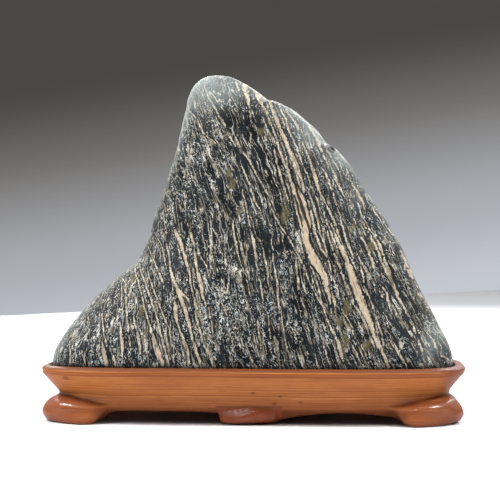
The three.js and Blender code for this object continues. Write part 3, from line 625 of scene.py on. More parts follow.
def net_surface(field, axes):
    """The skin round the part of a grid where a field is negative, as points and four-sided faces."""
    inside = field < 0
    corners = list(np.ndindex(2, 2, 2))
    cell_shape = tuple(n - 1 for n in field.shape)

    def at_corner(values, corner):
        return values[tuple(slice(c, c + n) for c, n in zip(corner, cell_shape))]

    count_inside = sum(at_corner(inside, corner).astype(int) for corner in corners)
    active = (count_inside > 0) & (count_inside < len(corners))
    cells = np.argwhere(active)
    number = np.full(cell_shape, -1)
    number[active] = np.arange(len(cells))

    total = np.zeros((len(cells), 3))
    crossings = np.zeros(len(cells))
    for start in corners:
        for axis in range(3):
            if start[axis] == 1:
                continue
            end = tuple(1 if i == axis else c for i, c in enumerate(start))
            a = at_corner(field, start)[active]
            b = at_corner(field, end)[active]
            crossed = (a < 0) != (b < 0)
            share = np.where(crossed, a / np.where(crossed, a - b, 1), 0)
            place = np.tile(np.array(start, float), (len(cells), 1))
            place[:, axis] = share
            total[crossed] += place[crossed]
            crossings += crossed
    spots = cells + total / crossings[:, None]
    points = np.stack([np.interp(spots[:, i], np.arange(len(axes[i])), axes[i]) for i in range(3)], axis=1)

    faces = []
    for axis in range(3):
        other, third = (axis + 1) % 3, (axis + 2) % 3
        here = tuple(slice(1, -1) if i != axis else slice(0, -1) for i in range(3))
        there = tuple(slice(1, -1) if i != axis else slice(1, None) for i in range(3))
        change = inside[here] != inside[there]
        edges = np.argwhere(change)
        leaving = inside[here][change]
        edges[:, other] += 1
        edges[:, third] += 1
        ring = []
        for back_other, back_third in ((1, 1), (0, 1), (0, 0), (1, 0)):
            cell = edges.copy()
            cell[:, other] -= back_other
            cell[:, third] -= back_third
            ring.append(number[cell[:, 0], cell[:, 1], cell[:, 2]])
        quads = np.stack(ring, axis=1)
        quads[~leaving] = quads[~leaving][:, ::-1]
        faces.append(quads)
    return points, np.concatenate(faces)


def inset_map(x, y, half_width, half_depth, corners):
    """How far each place of the plan lies in from an outline with rounded corners."""
    square = np.where(x < 0, corners[0], corners[1])
    shape = np.broadcast(x, y).shape
    low = np.full(shape, -INSET_OUTSIDE)
    high = np.full(shape, half_depth - INSET_LEFT)
    for _ in range(INSET_HALVINGS):
        middle = (low + high) / 2
        within = (abs(x) / (half_width - middle)) ** square + (abs(y) / (half_depth - middle)) ** square < 1
        low = np.where(within, middle, low)
        high = np.where(within, high, middle)
    return (low + high) / 2


def profile_at(profile, height):
    heights, insets = zip(*profile)
    return np.interp(height, heights, insets)


def arch_field(across, height, arch):
    """Negative inside the room under an arch."""
    up = np.clip(height, 0, None) / arch["top"]
    middle = (arch["from"] + arch["to"]) / 2
    half = (arch["to"] - arch["from"]) / 2
    lean = np.where(across < middle, arch["lean_from"], arch["lean_to"]) * np.minimum(up, 1)
    reach = (np.abs(across - middle) / (half - lean)) ** arch["square"] + up ** arch["square"]
    return (reach ** (1 / arch["square"]) - 1) * arch["top"]


def outline_field(across, height, outline):
    """The distance to an outline of straight lines, negative inside. The outline runs counter-clockwise."""
    shape = np.broadcast(across, height).shape
    nearest = np.full(shape, np.inf)
    within = np.ones(shape)
    for (x1, z1), (x2, z2) in zip(outline, outline[1:] + outline[:1]):
        dx, dz = x2 - x1, z2 - z1
        share = np.clip(((across - x1) * dx + (height - z1) * dz) / (dx * dx + dz * dz), 0, 1)
        distance = np.hypot(across - x1 - share * dx, height - z1 - share * dz)
        nearest = np.minimum(nearest, distance)
        edge = x1 + (height - z1) * dx / (dz if dz else TINY)
        crosses = ((z1 > height) != (z2 > height)) & (across < edge)
        within = np.where(crosses, -within, within)
    return nearest * within


def foot_fullness(far_x, z):
    """How much fuller the feet are at their shoulder and at their toe, which both end before the corner."""
    shoulder = smoothstep(z, FOOT_SHOULDER["from"], FOOT_SHOULDER["full"])
    shoulder = shoulder * (1 - smoothstep(z, FOOT_SHOULDER["falling"], FOOT_SHOULDER["to"]))
    shoulder = shoulder * (1 - smoothstep(far_x, *FOOT_SHOULDER_ENDS))
    toe = (1 - smoothstep(z, 0, FOOT_TOE_HEIGHT)) * (1 - smoothstep(far_x, *FOOT_TOE_ENDS))
    return FOOT_SHOULDER["size"] * shoulder + FOOT_TOE * toe


def corner_feet_field(x, y, z):
    """Negative inside the four corner feet."""
    def by_foot(key):
        right = np.where(y < 0, RIGHT_FRONT_FOOT[key], RIGHT_BACK_FOOT[key])
        return np.where(x < 0, LEFT_FEET[key], right)

    outward = smoothstep(abs(x), *FOOT_RISE)
    stretch = FOOT_LOW_END + (by_foot("height") - FOOT_LOW_END) * outward

    def near(distance, inner):
        return 1 - smoothstep(distance, inner - FOOT_ROLL_LENGTH, inner + FOOT_ROLL_LENGTH)

    roll = FOOT_ROLL_INSET * np.maximum(near(abs(x), FOOT_INNER_X), near(abs(y), FOOT_INNER_Y))
    tuck = by_foot("tuck") * np.clip(1 - z / FOOT_WIDEST, 0, 1)
    across = x / by_foot("width")
    inset = inset_map(across, y, STAND_HALF_WIDTH, STAND_HALF_DEPTH, FOOT_CORNERS)
    low_inset = inset_map(across, y, STAND_HALF_WIDTH, STAND_HALF_DEPTH, FOOT_BOTTOM_CORNERS)
    inset = low_inset + (inset - low_inset) * smoothstep(z, FOOT_BOTTOM_FADE, FOOT_WIDEST)
    skirt = profile_at(FOOT_PROFILE, z / stretch) + roll + tuck - inset - foot_fullness(abs(x), z)
    slope = math.hypot(1, FOOT_SLANT)
    end_x = (FOOT_INNER_X - FOOT_SLANT * z - abs(x)) / slope - FOOT_ROUND_SHIFT
    end_y = (FOOT_INNER_Y - FOOT_SLANT * z - abs(y)) / slope - FOOT_ROUND_SHIFT
    feet = smooth_max(skirt, end_x, FOOT_ROUND)
    return smooth_max(feet, end_y, FOOT_SIDE_ROUND)


def middle_foot_field(x, y, z, side):
    """Negative inside the middle foot of one long side, whose front has a sloping flat."""
    front_y = STAND_HALF_DEPTH - MIDDLE_FOOT_INSET
    middle = side * (front_y - MIDDLE_FOOT_DEPTH / 2)
    bow = MIDDLE_FOOT_BOW * (x - MIDDLE_FOOT_BOW_MIDDLE) ** 2
    depth = abs(y - middle) - MIDDLE_FOOT_DEPTH / 2 + bow
    foot = smooth_max(outline_field(x, z, MIDDLE_FOOT), depth, MIDDLE_FOOT_ROUND)
    facet_top = MIDDLE_FOOT_FACET["height"] + MIDDLE_FOOT_FACET["rise"] * (x - MIDDLE_FOOT_FACET["x"])
    steep = MIDDLE_FOOT_FACET["steepness"]
    facet = (z - facet_top - steep * (front_y - abs(y))) / math.hypot(1, steep)
    return smooth_max(foot, facet, MIDDLE_FOOT_FACET["round"])


def wall_field(x, y, z, inset):
    """Negative inside the wall and the rim, with the arches cut out below."""
    middle = 1 - smoothstep(abs(x), *MIDDLE_WALL_FADE)
    wall = profile_at(WALL_PROFILE, z) * (1 - middle) + profile_at(MIDDLE_WALL_PROFILE, z) * middle - inset
    wall = wall + smoothstep(x, *RIGHT_END_FADE) * profile_at(RIGHT_END_INSET, z)
    for arch in (LEFT_ARCH, RIGHT_ARCH):
        wall = smooth_max(wall, -arch_field(x, z, arch), EDGE_ROUND)
    return smooth_max(wall, -arch_field(y, z, END_ARCH), EDGE_ROUND)


def stand_field(x, y, z):
    """Negative inside the whole stand."""
    inset = inset_map(x, y, STAND_HALF_WIDTH, STAND_HALF_DEPTH, WALL_CORNERS)
    merging = CREASE_ROUND + FOOT_MERGE * (1 - smoothstep(abs(x), FOOT_INNER_X, FOOT_RISE[1]))
    whole = smooth_min(wall_field(x, y, z, inset), corner_feet_field(x, y, z), merging)
    for side in (-1, 1):
        whole = smooth_min(whole, middle_foot_field(x, y, z, side), EDGE_ROUND)

    spots = np.stack([axis.ravel() for axis in np.broadcast_arrays(x, y, z)], axis=1)
    carving = lattice_noise(spots, CARVING_SIZE, CARVING_SEED).reshape(whole.shape)
    whole = whole + CARVING_DEPTH * (1 + carving) / 2
    hollow = np.maximum(HOLLOW_INSET - inset, z - HOLLOW_TOP)
    seat_inset = inset_map(x - SEAT_SHIFT, y, SEAT_HALF_WIDTH, SEAT_HALF_DEPTH, WALL_CORNERS)
    seat = np.maximum(-seat_inset, SEAT_FLOOR - z)
    whole = smooth_max(np.maximum(whole, -hollow), -seat, SEAT_EDGE_ROUND)
    return np.maximum(np.maximum(whole, z - RIM_TOP), -z)


def make_stand():
    margin, rim_from = GRID["margin"], GRID["rim_from"]
    xs = np.arange(-STAND_HALF_WIDTH - margin, STAND_HALF_WIDTH + margin, GRID["plan"])
    ys = np.arange(-STAND_HALF_DEPTH - margin, STAND_HALF_DEPTH + margin, GRID["plan"])
    low_zs = np.arange(-margin + GRID["offset"], rim_from, GRID["low"])
    zs = np.concatenate([low_zs, np.arange(rim_from, RIM_TOP + margin, GRID["rim"])])
    field = stand_field(xs[:, None, None], ys[None, :, None], zs[None, None, :])
    points, faces = net_surface(field, (xs, ys, zs))
    points[:, 2] = np.clip(points[:, 2], 0, RIM_TOP)
    mesh = bpy.data.meshes.new("stand_look")
    mesh.from_pydata((points * MM).tolist(), [], faces.tolist())
    mesh.update()
    mesh.shade_smooth()
    return add_object("stand_look", mesh)


def mesh_values(mesh, key):
    """The points or the normals of a mesh, one row for each."""
    flat = np.empty(len(mesh.vertices) * 3)
    mesh.vertices.foreach_get(key, flat)
    return flat.reshape(-1, 3)


def set_points(mesh, points):
    mesh.vertices.foreach_set("co", (points * MM).ravel())
    mesh.update()


def smooth_points(mesh, points, rounds):
    """Moves each point halfway to the mean of its neighbours, several times."""
    pairs = np.empty(len(mesh.edges) * 2, int)
    mesh.edges.foreach_get("vertices", pairs)
    a, b = pairs.reshape(-1, 2).T
    count = len(points)
    neighbours = np.bincount(a, minlength=count) + np.bincount(b, minlength=count)
    for _ in range(rounds):
        total = np.stack([
            np.bincount(a, points[b, i], count) + np.bincount(b, points[a, i], count) for i in range(3)
        ], axis=1)
        points = (points + total / neighbours[:, None]) / 2
    return points


def face_place(points):
    """Where a point lies across the sheets of the rock, front to back, and up."""
    return np.stack([points[:, 0] - SHEET_TILT * points[:, 1], points[:, 1], points[:, 2]], axis=1)


def stripe_slope(across, height):
    """The sideways run of the stripes for each step down, blended from the places that are known."""
    total = np.zeros(len(across))
    weights = np.full(len(across), TINY)
    for place, level, lean in STRIPE_LEANS:
        weight = np.exp(-((across - place) ** 2 + (height - level) ** 2) / (2 * LEAN_REACH ** 2))
        weight += LEAN_LEAST_WEIGHT
        total += weight * math.tan(math.radians(lean))
        weights += weight
    return total / weights


def stripe_place(place):
    """Follows each point's stripe down to the stone's base and gives where it arrives."""
    across = place[:, 0].copy()
    height = place[:, 2].copy()
    while height.max() > BASE_HEIGHT:
        step = np.clip(height - BASE_HEIGHT, 0, LEAN_STEP)
        across += step * stripe_slope(across, height)
        height -= step
    bend = STRIPE_BEND["depth"] * lattice_noise(place, STRIPE_BEND["size"], STRIPE_BEND["seed"])
    return np.stack([across + bend, place[:, 1], place[:, 2]], axis=1)


def patches_at(place, patches):
    """The sum of soft patches at each place. A patch without a strength has 1."""
    total = np.zeros(len(place))
    for x, z, half_width, half_height, *given in patches:
        strength = given[0] if given else 1
        away = ((place[:, 0] - x) / half_width) ** 2 + ((place[:, 2] - z) / half_height) ** 2
        total += strength * np.exp(-away)
    return total


def pit_share(points):
    """1 in the middle of the pit and 0 outside it. The pit's long side runs down to the right."""
    x, y, z = (points - PIT["centre"]).T
    lean = math.radians(PIT["lean"])
    along = x * math.cos(lean) - z * math.sin(lean)
    across = x * math.sin(lean) + z * math.cos(lean)
    parts = (along / PIT["half_width"], y / PIT["half_depth"], across / PIT["half_height"])
    away = np.sqrt(sum(part ** 2 for part in parts))
    return 1 - smoothstep(away, *PIT_EDGE)


def add_attribute(mesh, name, values):
    kind = "FLOAT_VECTOR" if values.ndim == 2 else "FLOAT"
    attribute = mesh.attributes.new(name, kind, "POINT")
    key = "vector" if values.ndim == 2 else "value"
    attribute.data.foreach_set(key, values.ravel().astype(np.float32))


def rounded_stone():
    """The stone's solid as one fine and even mesh, made round again between its facets."""
    solid = bmesh.new()
    solid.from_mesh(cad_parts["stone"].data)
    bmesh.ops.remove_doubles(solid, verts=solid.verts, dist=WELD_DISTANCE * MM)
    bmesh.ops.join_triangles(
        solid, faces=solid.faces, angle_face_threshold=FLAT_ANGLE, angle_shape_threshold=SKEW_ANGLE)
    coarse = bpy.data.meshes.new("stone_coarse")
    solid.to_mesh(coarse)
    solid.free()
    shaper = add_object("stone_shaper", coarse)
    rounder = shaper.modifiers.new("round", "SUBSURF")
    rounder.levels = ROUNDING_LEVELS
    rounder.render_levels = ROUNDING_LEVELS
    evener = shaper.modifiers.new("even", "REMESH")
    evener.mode = "VOXEL"
    evener.voxel_size = STONE_VOXEL * MM
    shaped = shaper.evaluated_get(bpy.context.evaluated_depsgraph_get())
    mesh = bpy.data.meshes.new_from_object(shaped)
    bpy.data.objects.remove(shaper)
    mesh.name = "stone_look"
    mesh.shade_smooth()
    set_points(mesh, smooth_points(mesh, mesh_values(mesh, "co") / MM, STONE_SMOOTHING))
    return mesh


def relief_depth(points, stripes, pit):
    """How deep the relief, the groove below the notch and the pit lie below the rounded stone."""
    depth = sum(
        layer["depth"] * (1 + lattice_noise(stripes, layer["size"], RELIEF_SEED + i)) / 2
        for i, layer in enumerate(RELIEF)
    )
    across, _, height = face_place(points).T
    groove_x, groove_z, groove_depth = np.array(NOTCH_GROOVE[::-1]).T
    off_groove = (across - np.interp(height, groove_z, groove_x)) / NOTCH_HALF_WIDTH
    depth += np.interp(height, groove_z, groove_depth) * np.exp(-off_groove ** 2) + PIT_DEPTH * pit
    return depth * smoothstep(points[:, 2], *RELIEF_FADE)


def make_stone():
    """The rounded stone with its relief, and with what its colours are worked out from."""
    mesh = rounded_stone()
    points = mesh_values(mesh, "co") / MM
    stripes = stripe_place(face_place(points))
    pit = pit_share(points)
    points = points - mesh_values(mesh, "normal") * relief_depth(points, stripes, pit)[:, None]
    set_points(mesh, points)

    place = face_place(points)
    add_attribute(mesh, "face", place)
    add_attribute(mesh, "stripes", stripes)
    add_attribute(mesh, "olive", patches_at(place, OLIVE_PATCHES))
    add_attribute(mesh, "flecks", patches_at(place, FLECK_ZONES))
    add_attribute(mesh, "edge_sheen", np.clip(patches_at(place, EDGE_SHEEN_PATCHES), 0, 1))
    add_attribute(mesh, "pit", pit)
    return add_object("stone_look", mesh)


class Value:
    """A number or a colour that a material's nodes work out. Numbers take part in plain sums."""

    def __init__(self, shader, socket):
        self.shader = shader
        self.socket = socket

    def __add__(self, other):
        return self.shader.math("ADD", self, other)

    def __sub__(self, other):
        return self.shader.math("SUBTRACT", self, other)

    def __rsub__(self, other):
        return self.shader.math("SUBTRACT", other, self)

    def __mul__(self, other):
        return self.shader.math("MULTIPLY", self, other)

    def __truediv__(self, other):
        return self.shader.math("DIVIDE", self, other)

    def __abs__(self):
        return self.shader.math("ABSOLUTE", self)


class Shader:
    """Short ways to build a material's nodes."""

    def __init__(self, name):
        self.material = bpy.data.materials.new(name)
        self.material.use_nodes = True
        self.tree = self.material.node_tree
        self.tree.nodes.clear()
        self.surface = self.add("BsdfPrincipled")
        output = self.add("OutputMaterial")
        self.tree.links.new(self.surface.outputs[0], output.inputs["Surface"])

    def add(self, kind, *values, **settings):
        """Adds a node with some settings, and fills its first inputs in order."""
        node = self.tree.nodes.new("ShaderNode" + kind)
        for setting, value in settings.items():
            setattr(node, setting, value)
        for socket, value in zip(node.inputs, values):
            self.put(socket, value)
        return node

    def put(self, socket, value):
        if isinstance(value, Value):
            self.tree.links.new(value.socket, socket)
        else:
            socket.default_value = value

    def finish(self, values):
        """Sets the surface's inputs by name and gives the material."""
        for name, value in values.items():
            self.put(self.surface.inputs[name], value)
        return self.material

    def math(self, operation, *values):
        return Value(self, self.add("Math", *values, operation=operation).outputs[0])

    def larger(self, first, second):
        return self.math("MAXIMUM", first, second)

    def join(self, x, y, z):
        return Value(self, self.add("CombineXYZ", x, y, z).outputs[0])

    def split(self, vector):
        return [Value(self, part) for part in self.add("SeparateXYZ", vector).outputs]

    def length(self, vector):
        return Value(self, self.add("VectorMath", vector, operation="LENGTH").outputs["Value"])

    def place(self):
        """Where a point lies along each axis, in metres."""
        return self.split(Value(self, self.add("TexCoord").outputs["Object"]))

    def attribute(self, name, output="Fac"):
        return Value(self, self.add("Attribute", attribute_name=name).outputs[output])

    def step(self, value, low, high):
        """0 up to low, 1 from high on, and a soft change between them. low may be the higher number."""
        node = self.add("MapRange", value, low, high, interpolation_type="SMOOTHSTEP")
        return Value(self, node.outputs[0])

    def between(self, value, low, high):
        """low where a value is 0, and high where it is 1."""
        return value * (high - low) + low

    def pattern(self, place, name):
        """A pattern's soft noise from 0 to 1."""
        look = PATTERNS[name]
        node = self.add("TexNoise", self.join(*(part / size for part, size in zip(place, look["cells"]))))
        for key in ("Scale", "Detail", "Roughness"):
            node.inputs[key].default_value = look.get(key.lower(), PLAIN_NOISE[key])
        return Value(self, node.outputs[0])

    def edged(self, value, name):
        """A value stepped at a pattern's edge."""
        return self.step(value, *PATTERNS[name]["edge"])

    def patches(self, place, name):
        """1 inside a pattern's patches and 0 outside them."""
        return self.edged(self.pattern(place, name), name)

    def swing(self, place, name):
        """A pattern between the two ends of its swing."""
        return self.between(self.pattern(place, name), *PATTERNS[name]["swing"])

    def ridge(self, place, name):
        """0 along curling lines that follow a pattern's middle value, and more away from them."""
        return abs(self.pattern(place, name) - 0.5)

    def mix(self, share, first, second):
        node = self.add("Mix", share, data_type="RGBA")
        colours = [socket for socket in node.inputs if socket.type == "RGBA"]
        for socket, value in zip(colours, (first, second)):
            self.put(socket, value)
        return Value(self, next(socket for socket in node.outputs if socket.type == "RGBA"))

    def blend(self, share, codes):
        """The first of two colours, passing into the second as the share grows."""
        return self.mix(share, *[colour(code) for code in codes])

    def cover(self, under, share, layer):
        """A colour with a layer of another one, written as (colour, share), laid over it."""
        code, full_share = layer
        return self.mix(share * full_share, under, colour(code))

    def curve(self, value, points):
        """A line of straight pieces through points whose values run from 0 to 1."""
        node = self.add("FloatCurve")
        self.put(node.inputs["Value"], value)
        line = node.mapping.curves[0]
        while len(line.points) < len(points):
            line.points.new(0.5, 0.5)
        for spot, place in zip(line.points, points):
            spot.location = place
            spot.handle_type = "VECTOR"
        node.mapping.update()
        return Value(self, node.outputs[0])

    def bump(self, height, distance, strength):
        node = self.add("Bump")
        for name, value in (("Height", height), ("Distance", distance), ("Strength", strength)):
            self.put(node.inputs[name], value)
        return Value(self, node.outputs[0])


def vein_tracks(veins):
    """Sorts veins into tracks. No two veins of one track share a height."""
    tracks = []
    for line in sorted(veins, key=lambda line: -line[0][1]):
        top = line[0][1]
        free = [track for track in tracks if track[-1][-1][1] - top >= TRACK["gap"]]
        if free:
            free[0].append(line)
        else:
            tracks.append([line])
    return tracks


def track_curves(track):
    """The middle line and the width of one track's veins, as points from 0 to 1."""
    centres = []
    widths = []
    for line in reversed(track):
        across, levels, thick = np.array(line[::-1]).T
        levels = (levels - TRACK["bottom"]) / TRACK["height"]
        places = (across - TRACK["left"]) / TRACK["width"]
        low_end, high_end = levels[0] - TRACK["taper"], levels[-1] + TRACK["taper"]
        centres += [(low_end, places[0]), *zip(levels, places), (high_end, places[-1])]
        widths += [(low_end, 0), *zip(levels, thick / TRACK["thickest"]), (high_end, 0)]
    centres = [(0, centres[0][1]), *centres, (1, centres[-1][1])]
    return centres, [(0, 0), *widths, (1, 0)]


def vein_depth(shader, across, height, veins):
    """How deep a place lies inside the nearest of the veins, in millimetres. It is negative outside them."""
    level = (height - TRACK["bottom"]) / TRACK["height"]
    place = (across - TRACK["left"]) / TRACK["width"]
    deepest = TRACK["outside"]
    for track in vein_tracks(veins):
        centres, widths = track_curves(track)
        width = shader.curve(level, widths)
        away = abs(place - shader.curve(level, centres)) * TRACK["width"]
        between = shader.step(width, *TRACK["ends"]) * TRACK["end_drop"]
        depth = width * (TRACK["thickest"] / 2) - away - between
        deepest = shader.larger(depth, deepest)
    return deepest


def flecked(s, stripes, fleck, beside):
    """Rock near black with a bluish cast, with pale flecks and short curling lines on it."""
    rock = s.blend(s.patches(stripes, "darker rock"), ROCK_TINTS)
    limit = s.swing(stripes, "fleck limit")
    limit = limit - s.attribute("flecks") * FLECK_ZONE_EFFECT + beside * FLECK_VEIN_EFFECT
    flecks = s.step(fleck, limit + FLECK_EDGE[0], limit + FLECK_EDGE[1])
    curl_limit = limit * CURL_LIMIT["by flecks"] + CURL_LIMIT["even"]
    curls = s.step(s.ridge(stripes, "curls"), curl_limit, curl_limit - CURL_LIMIT["softness"])
    tint = s.blend(s.patches(stripes, "fleck tints"), FLECK_TINTS)
    tint = s.cover(tint, s.patches(stripes, "warm flecks"), WARM_FLECKS)
    return s.mix(s.larger(flecks, curls * s.patches(stripes, "broken curls")) * FLECK_SHARE, rock, tint)


def streaked(s, stripes, crumbs, beside, rock):
    """Short streaks over the rock, and longer thin ones that break off and start again."""
    def lines(name):
        return s.edged(s.ridge(stripes, name), name) * s.patches(stripes, "broken " + name)

    limit = s.attribute("flecks") * STREAK_ZONE_EFFECT + STREAK_EDGE[0]
    short = s.step(s.pattern(stripes, "streaks"), limit, STREAK_EDGE[1])
    short = short * s.patches(stripes, "broken streaks")
    streaks = s.larger(short, s.larger(lines("thin lines"), lines("hair lines") * HAIR_SHARE))
    streaks = streaks * s.between(crumbs, STREAK_BETWEEN_CRUMBS, 1) * (1 - beside)
    return s.mix(streaks * STREAK_SHARE, rock, s.blend(s.patches(stripes, "streak tints"), STREAK_TINTS))


def with_olive(s, sheets, fleck, rock):
    """Ragged olive patches over the rock."""
    share = s.step(s.attribute("olive") + s.swing(sheets, "olive edges"), *OLIVE_EDGE)
    return s.mix(share * OLIVE_SHARE, rock, s.blend(s.step(fleck, *OLIVE_GRAIN), OLIVE_TINTS))


def veined(s, sheets, stripes, crumbs, deep, vein, rock):
    """Tan to cream veins over the rock, with darker threads along them."""
    core = s.step(deep, *VEIN_CORE_EDGE)
    clouds = s.pattern(sheets, "vein clouds")
    tint = s.blend(s.edged(clouds, "vein clouds"), VEIN_TINTS)
    tint = s.cover(tint, core * s.step(clouds, *VEIN_CORE_CLOUDS), VEIN_CORE)
    tint = s.cover(tint, s.patches(stripes, "vein threads"), VEIN_THREADS)
    return s.mix(vein * s.between(s.larger(core, crumbs), *VEIN_SHARE), rock, tint)


def stone_material():
    s = Shader("dark stone with cream veins")
    across, depth, height = sheets = s.split(s.attribute("face", "Vector"))

    # The stripes wander a little and run in small steps
    wandering = s.swing(sheets, "wandering") + s.swing(sheets, "small steps")
    stripe = s.split(s.attribute("stripes", "Vector"))[0] + wandering
    stripes = (stripe, depth, height)

    # The veins have ragged edges and gaps, and the rock close beside them is plainer
    gaps = s.patches(sheets, "vein gaps") * VEIN_GAP_DEPTH
    jagged_across = across + s.swing(sheets, "jagged veins")
    deep = vein_depth(s, jagged_across, height, VEINS) + (s.swing(sheets, "ragged veins") - gaps)
    vein = s.step(deep, *VEIN_EDGE)
    beside = s.step(deep, *BESIDE_VEIN_EDGE) * BESIDE_VEIN_SHARE
    crack = s.step(vein_depth(s, jagged_across, height, CRACKS), *CRACK_EDGE)

    fleck = s.pattern(stripes, "flecks")
    crumbs = s.patches(sheets, "crumbs")
    skin = flecked(s, stripes, fleck, beside)
    skin = streaked(s, stripes, crumbs, beside, skin)
    skin = with_olive(s, sheets, fleck, skin)
    skin = veined(s, sheets, stripes, crumbs, deep, vein, skin)
    skin = s.cover(skin, crack, CRACK)

    # Edges painted paler, to a grey green, as a painted sheen where light grazes them, a painted shadow
    # along the foot just above the rim, and painted shade darkening the pit
    skin = s.cover(skin, s.attribute("edge_sheen") * s.swing(stripes, "edge sheen grain"), PAINTED_EDGE_SHEEN)
    skin = s.cover(skin, s.step(height, *FOOT_SHADOW_EDGE), PAINTED_FOOT_SHADOW)
    skin = s.cover(skin, s.attribute("pit"), PAINTED_PIT_SHADE)

    relief = s.pattern(sheets, "fine grain") * STONE_RELIEF["grain"] + vein * STONE_RELIEF["veins"]
    return s.finish({
        "Base Color": skin,
        "Roughness": s.swing(stripes, "stone roughness") + vein * VEIN_ROUGHNESS,
        "Normal": s.bump(relief, *STONE_BUMP),
        "Sheen Tint": colour(SHEEN_TINT),
        **STONE_SURFACE,
    })


def speck_share(s, x, z):
    """1 inside the wood's specks and 0 outside them."""
    marks = 0.0
    for speck_x, speck_z, size in SPECKS:
        away = s.length(s.join((x - speck_x) / SPECK_STRETCH, 0.0, z - speck_z))
        marks = s.larger(s.step(away, size, size * SPECK_CORE), marks)
    return marks


def wood_areas(s, x, z, ripple):
    """Each area of the wood: 1 inside it and 0 outside it, as the product of its soft edges."""
    far_x = abs(x)
    crease_height = s.between(s.step(far_x, *CREASE_RISE), *CREASE_HEIGHTS)
    measures = {
        "x": x,
        "far x": far_x,
        "z": z,
        "off the waist": abs(z - WAIST_HEIGHT),
        "off the corner crease": abs(z - crease_height),
        "off the middle crease": abs(z - MIDDLE_CREASE_HEIGHT),
        "off the rim": abs(z + ripple - RIM_SHADE_HEIGHT),
    }
    areas = {}
    for name, edges in WOOD_AREAS.items():
        shares = [s.step(measures[measure], *edge) for measure, edge in edges.items()]
        areas[name] = math.prod(shares[1:], start=shares[0])
    return areas


def wood_material():
    s = Shader("varnished reddish wood")
    x, y, z = place = [part / MM for part in s.place()]

    # Growth layers lie nearly flat and wave gently
    ripple = s.swing(place, "ripples")
    layer = z + (s.swing(place, "waving layers") + ripple)
    grain = s.pattern((0.0, 0.0, layer), "growth layers")
    fibres = s.pattern((x, y, layer), "fibres")
    wood = s.blend(s.edged(grain, "growth layers"), WOOD_TINTS)
    wood = s.cover(wood, s.patches((x, y, layer), "grain lines"), GRAIN_LINES)
    wood = s.cover(wood, s.edged(fibres, "fibres"), FIBRES)
    wood = s.cover(wood, s.patches(place, "wood clouds"), WOOD_CLOUDS)

    # Painted shade in the waist, the creases, under and on top of the rim, low on the wall and along the
    # aprons' lower edges, and darker ends and feet, laid over the wood one by one
    areas = wood_areas(s, x, z, ripple)
    middle_feet = areas["middle feet"]
    feet = s.larger(areas["corner feet"], middle_feet)
    areas["low wall and feet"] = s.larger(areas["low wall"] * LOW_SHADE_AND_FEET_TONE["wall"], feet * LOW_SHADE_AND_FEET_TONE["feet"])
    areas["edges of the aprons"] = areas["edges of the aprons"] * (1 - feet)
    areas["under the rim"] = areas["under the rim"] * s.swing(place, "patchy rim shade")
    for area, stain in PAINTED_SHADE_AND_TONES.items():
        wood = s.cover(wood, areas[area], stain)

    # Small pits on the feet, and specks on the front, which is slightly darkened as painted shade
    pits = s.patches(place, "wood pits") * feet
    wood = s.cover(wood, pits, WOOD_PITS)
    front = s.step(y, *FRONT_SHADE_EDGE)
    wood = s.cover(wood, front, PAINTED_FRONT_SHADE)
    wood = s.cover(wood, speck_share(s, x, z) * front, DARK_SPECKS)

    # The varnish is glossiest on the feet's shoulders and on the flat of the middle foot
    flat = areas["right of the flat's start"] * areas["left of the flat's end"] * middle_feet
    gloss = s.between(s.larger(areas["shoulders"], flat * FLAT_GLOSS), *FEET_GLOSS)
    dimples = s.pattern(place, "dimples") * s.between(feet, *DIMPLE_DEPTHS)
    relief = grain * WOOD_RELIEF["grain"] - pits * WOOD_RELIEF["pits"] + dimples
    bump = s.bump(relief, *WOOD_BUMP)
    return s.finish({
        "Base Color": wood,
        "Roughness": s.between(fibres, *WOOD_ROUGHNESS),
        "Coat Weight": feet * gloss + LEAST_GLOSS,
        "Normal": bump,
        "Coat Normal": bump,
        **WOOD_SURFACE,
    })


def from_camera(side, ahead, height):
    """A place in metres, from millimetres to the right of the camera, ahead of it, and above the floor."""
    turn_cos, turn_sin = math.cos(CAMERA_TURN), math.sin(CAMERA_TURN)
    right = Vector((turn_cos, turn_sin, 0))
    forward = Vector((-turn_sin, turn_cos, 0))
    start = right * CAMERA_SIDE - forward * CAMERA_DISTANCE
    return (start + right * side + forward * ahead + Vector((0, 0, height))) * MM


def add_camera():
    data = bpy.data.cameras.new("camera")
    data.sensor_width = CAMERA_SENSOR
    data.lens = CAMERA_SENSOR * CAMERA_DISTANCE / CAMERA_VIEW_WIDTH
    data.clip_end = CAMERA_REACH
    camera = add_object("camera", data)
    camera.location = from_camera(0, 0, CAMERA_HEIGHT)
    camera.rotation_euler = (math.radians(90), 0, CAMERA_TURN)
    bpy.context.scene.camera = camera


def add_sheet(name, corners, material):
    mesh = bpy.data.meshes.new(name)
    mesh.from_pydata([tuple(corner) for corner in corners], [], [tuple(range(len(corners)))])
    mesh.update()
    mesh.materials.append(material)
    sheet = add_object(name, mesh)
    sheet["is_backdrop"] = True


def add_floor():
    floor = Shader("pale floor").finish({"Base Color": colour(FLOOR_TINT), "Roughness": FLOOR_ROUGHNESS})
    add_sheet("floor", [from_camera(side, ahead, 0) for side, ahead in FLOOR_OUTLINE], floor)


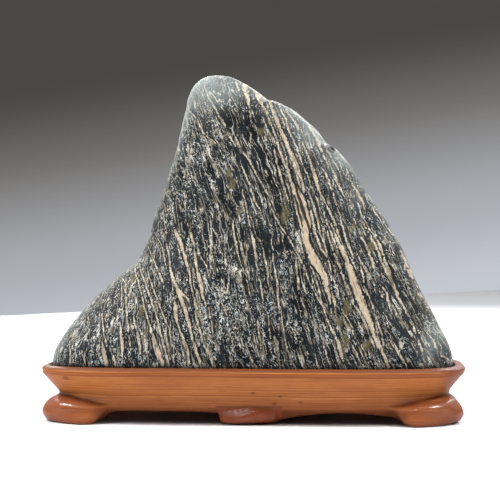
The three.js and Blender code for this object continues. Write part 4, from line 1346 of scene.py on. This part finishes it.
def add_backdrop():
    s = Shader("backdrop, grey above and paler below")
    side, _, height = s.place()
    # The backdrop glows: its painted light is grey above and paler towards the floor
    level = side * BACKDROP["slant"] + height
    tint = colour(BACKDROP["lowest"])
    for code, low, high in BACKDROP_SHADES:
        tint = s.mix(s.step(level, low, high), tint, colour(code))
    glow = s.finish({
        "Emission Color": tint,
        "Emission Strength": 1.0,
        "Base Color": colour("000000"),
        "Specular IOR Level": 0.0,
    })
    half_width, low, high = BACKDROP["half_width"], BACKDROP["low"], BACKDROP["high"]
    corners = [(-half_width, low), (half_width, low), (half_width, high), (-half_width, high)]
    add_sheet("backdrop", [from_camera(side, BACKDROP["ahead"], up) for side, up in corners], glow)


def add_softbox(name, place, target, size, power):
    data = bpy.data.lights.new(name, "AREA")
    data.shape = "RECTANGLE"
    data.size, data.size_y = size
    data.energy = power
    light = add_object(name, data)
    light.location = place
    light.rotation_euler = (Vector(target) - Vector(place)).to_track_quat("-Z", "Y").to_euler()


def add_lights():
    data = bpy.data.lights.new("sky light", "SUN")
    data.energy = SKY_LIGHT["power"]
    data.angle = math.radians(SKY_LIGHT["spread"])
    sky = add_object("sky light", data)
    sky.rotation_euler = (math.radians(SKY_LIGHT["lean"]), 0, 0)
    for softbox in SOFTBOXES:
        add_softbox(*softbox)
    world = bpy.data.worlds.new("room")
    world.use_nodes = True
    background = world.node_tree.nodes["Background"]
    background.inputs["Color"].default_value = colour(ROOM_TINT)
    background.inputs["Strength"].default_value = ROOM_LIGHT
    bpy.context.scene.world = world


def paint(piece, material):
    piece.data.materials.clear()
    piece.data.materials.append(material)


def plain(box):
    """A box's numbers as plain nested lists."""
    return [plain(part) for part in box] if hasattr(box, "__len__") else float(box)


add_camera()
bpy.context.scene.view_settings.view_transform = "Standard"

stand = make_stand()
paint(stand, wood_material())
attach(stand, "root")
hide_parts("stand")

stone = make_stone()
paint(stone, stone_material())
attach(stone, "root")
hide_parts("stone")

add_floor()
add_backdrop()
add_lights()

{"cad": plain(cad_box), "now": plain(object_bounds())}
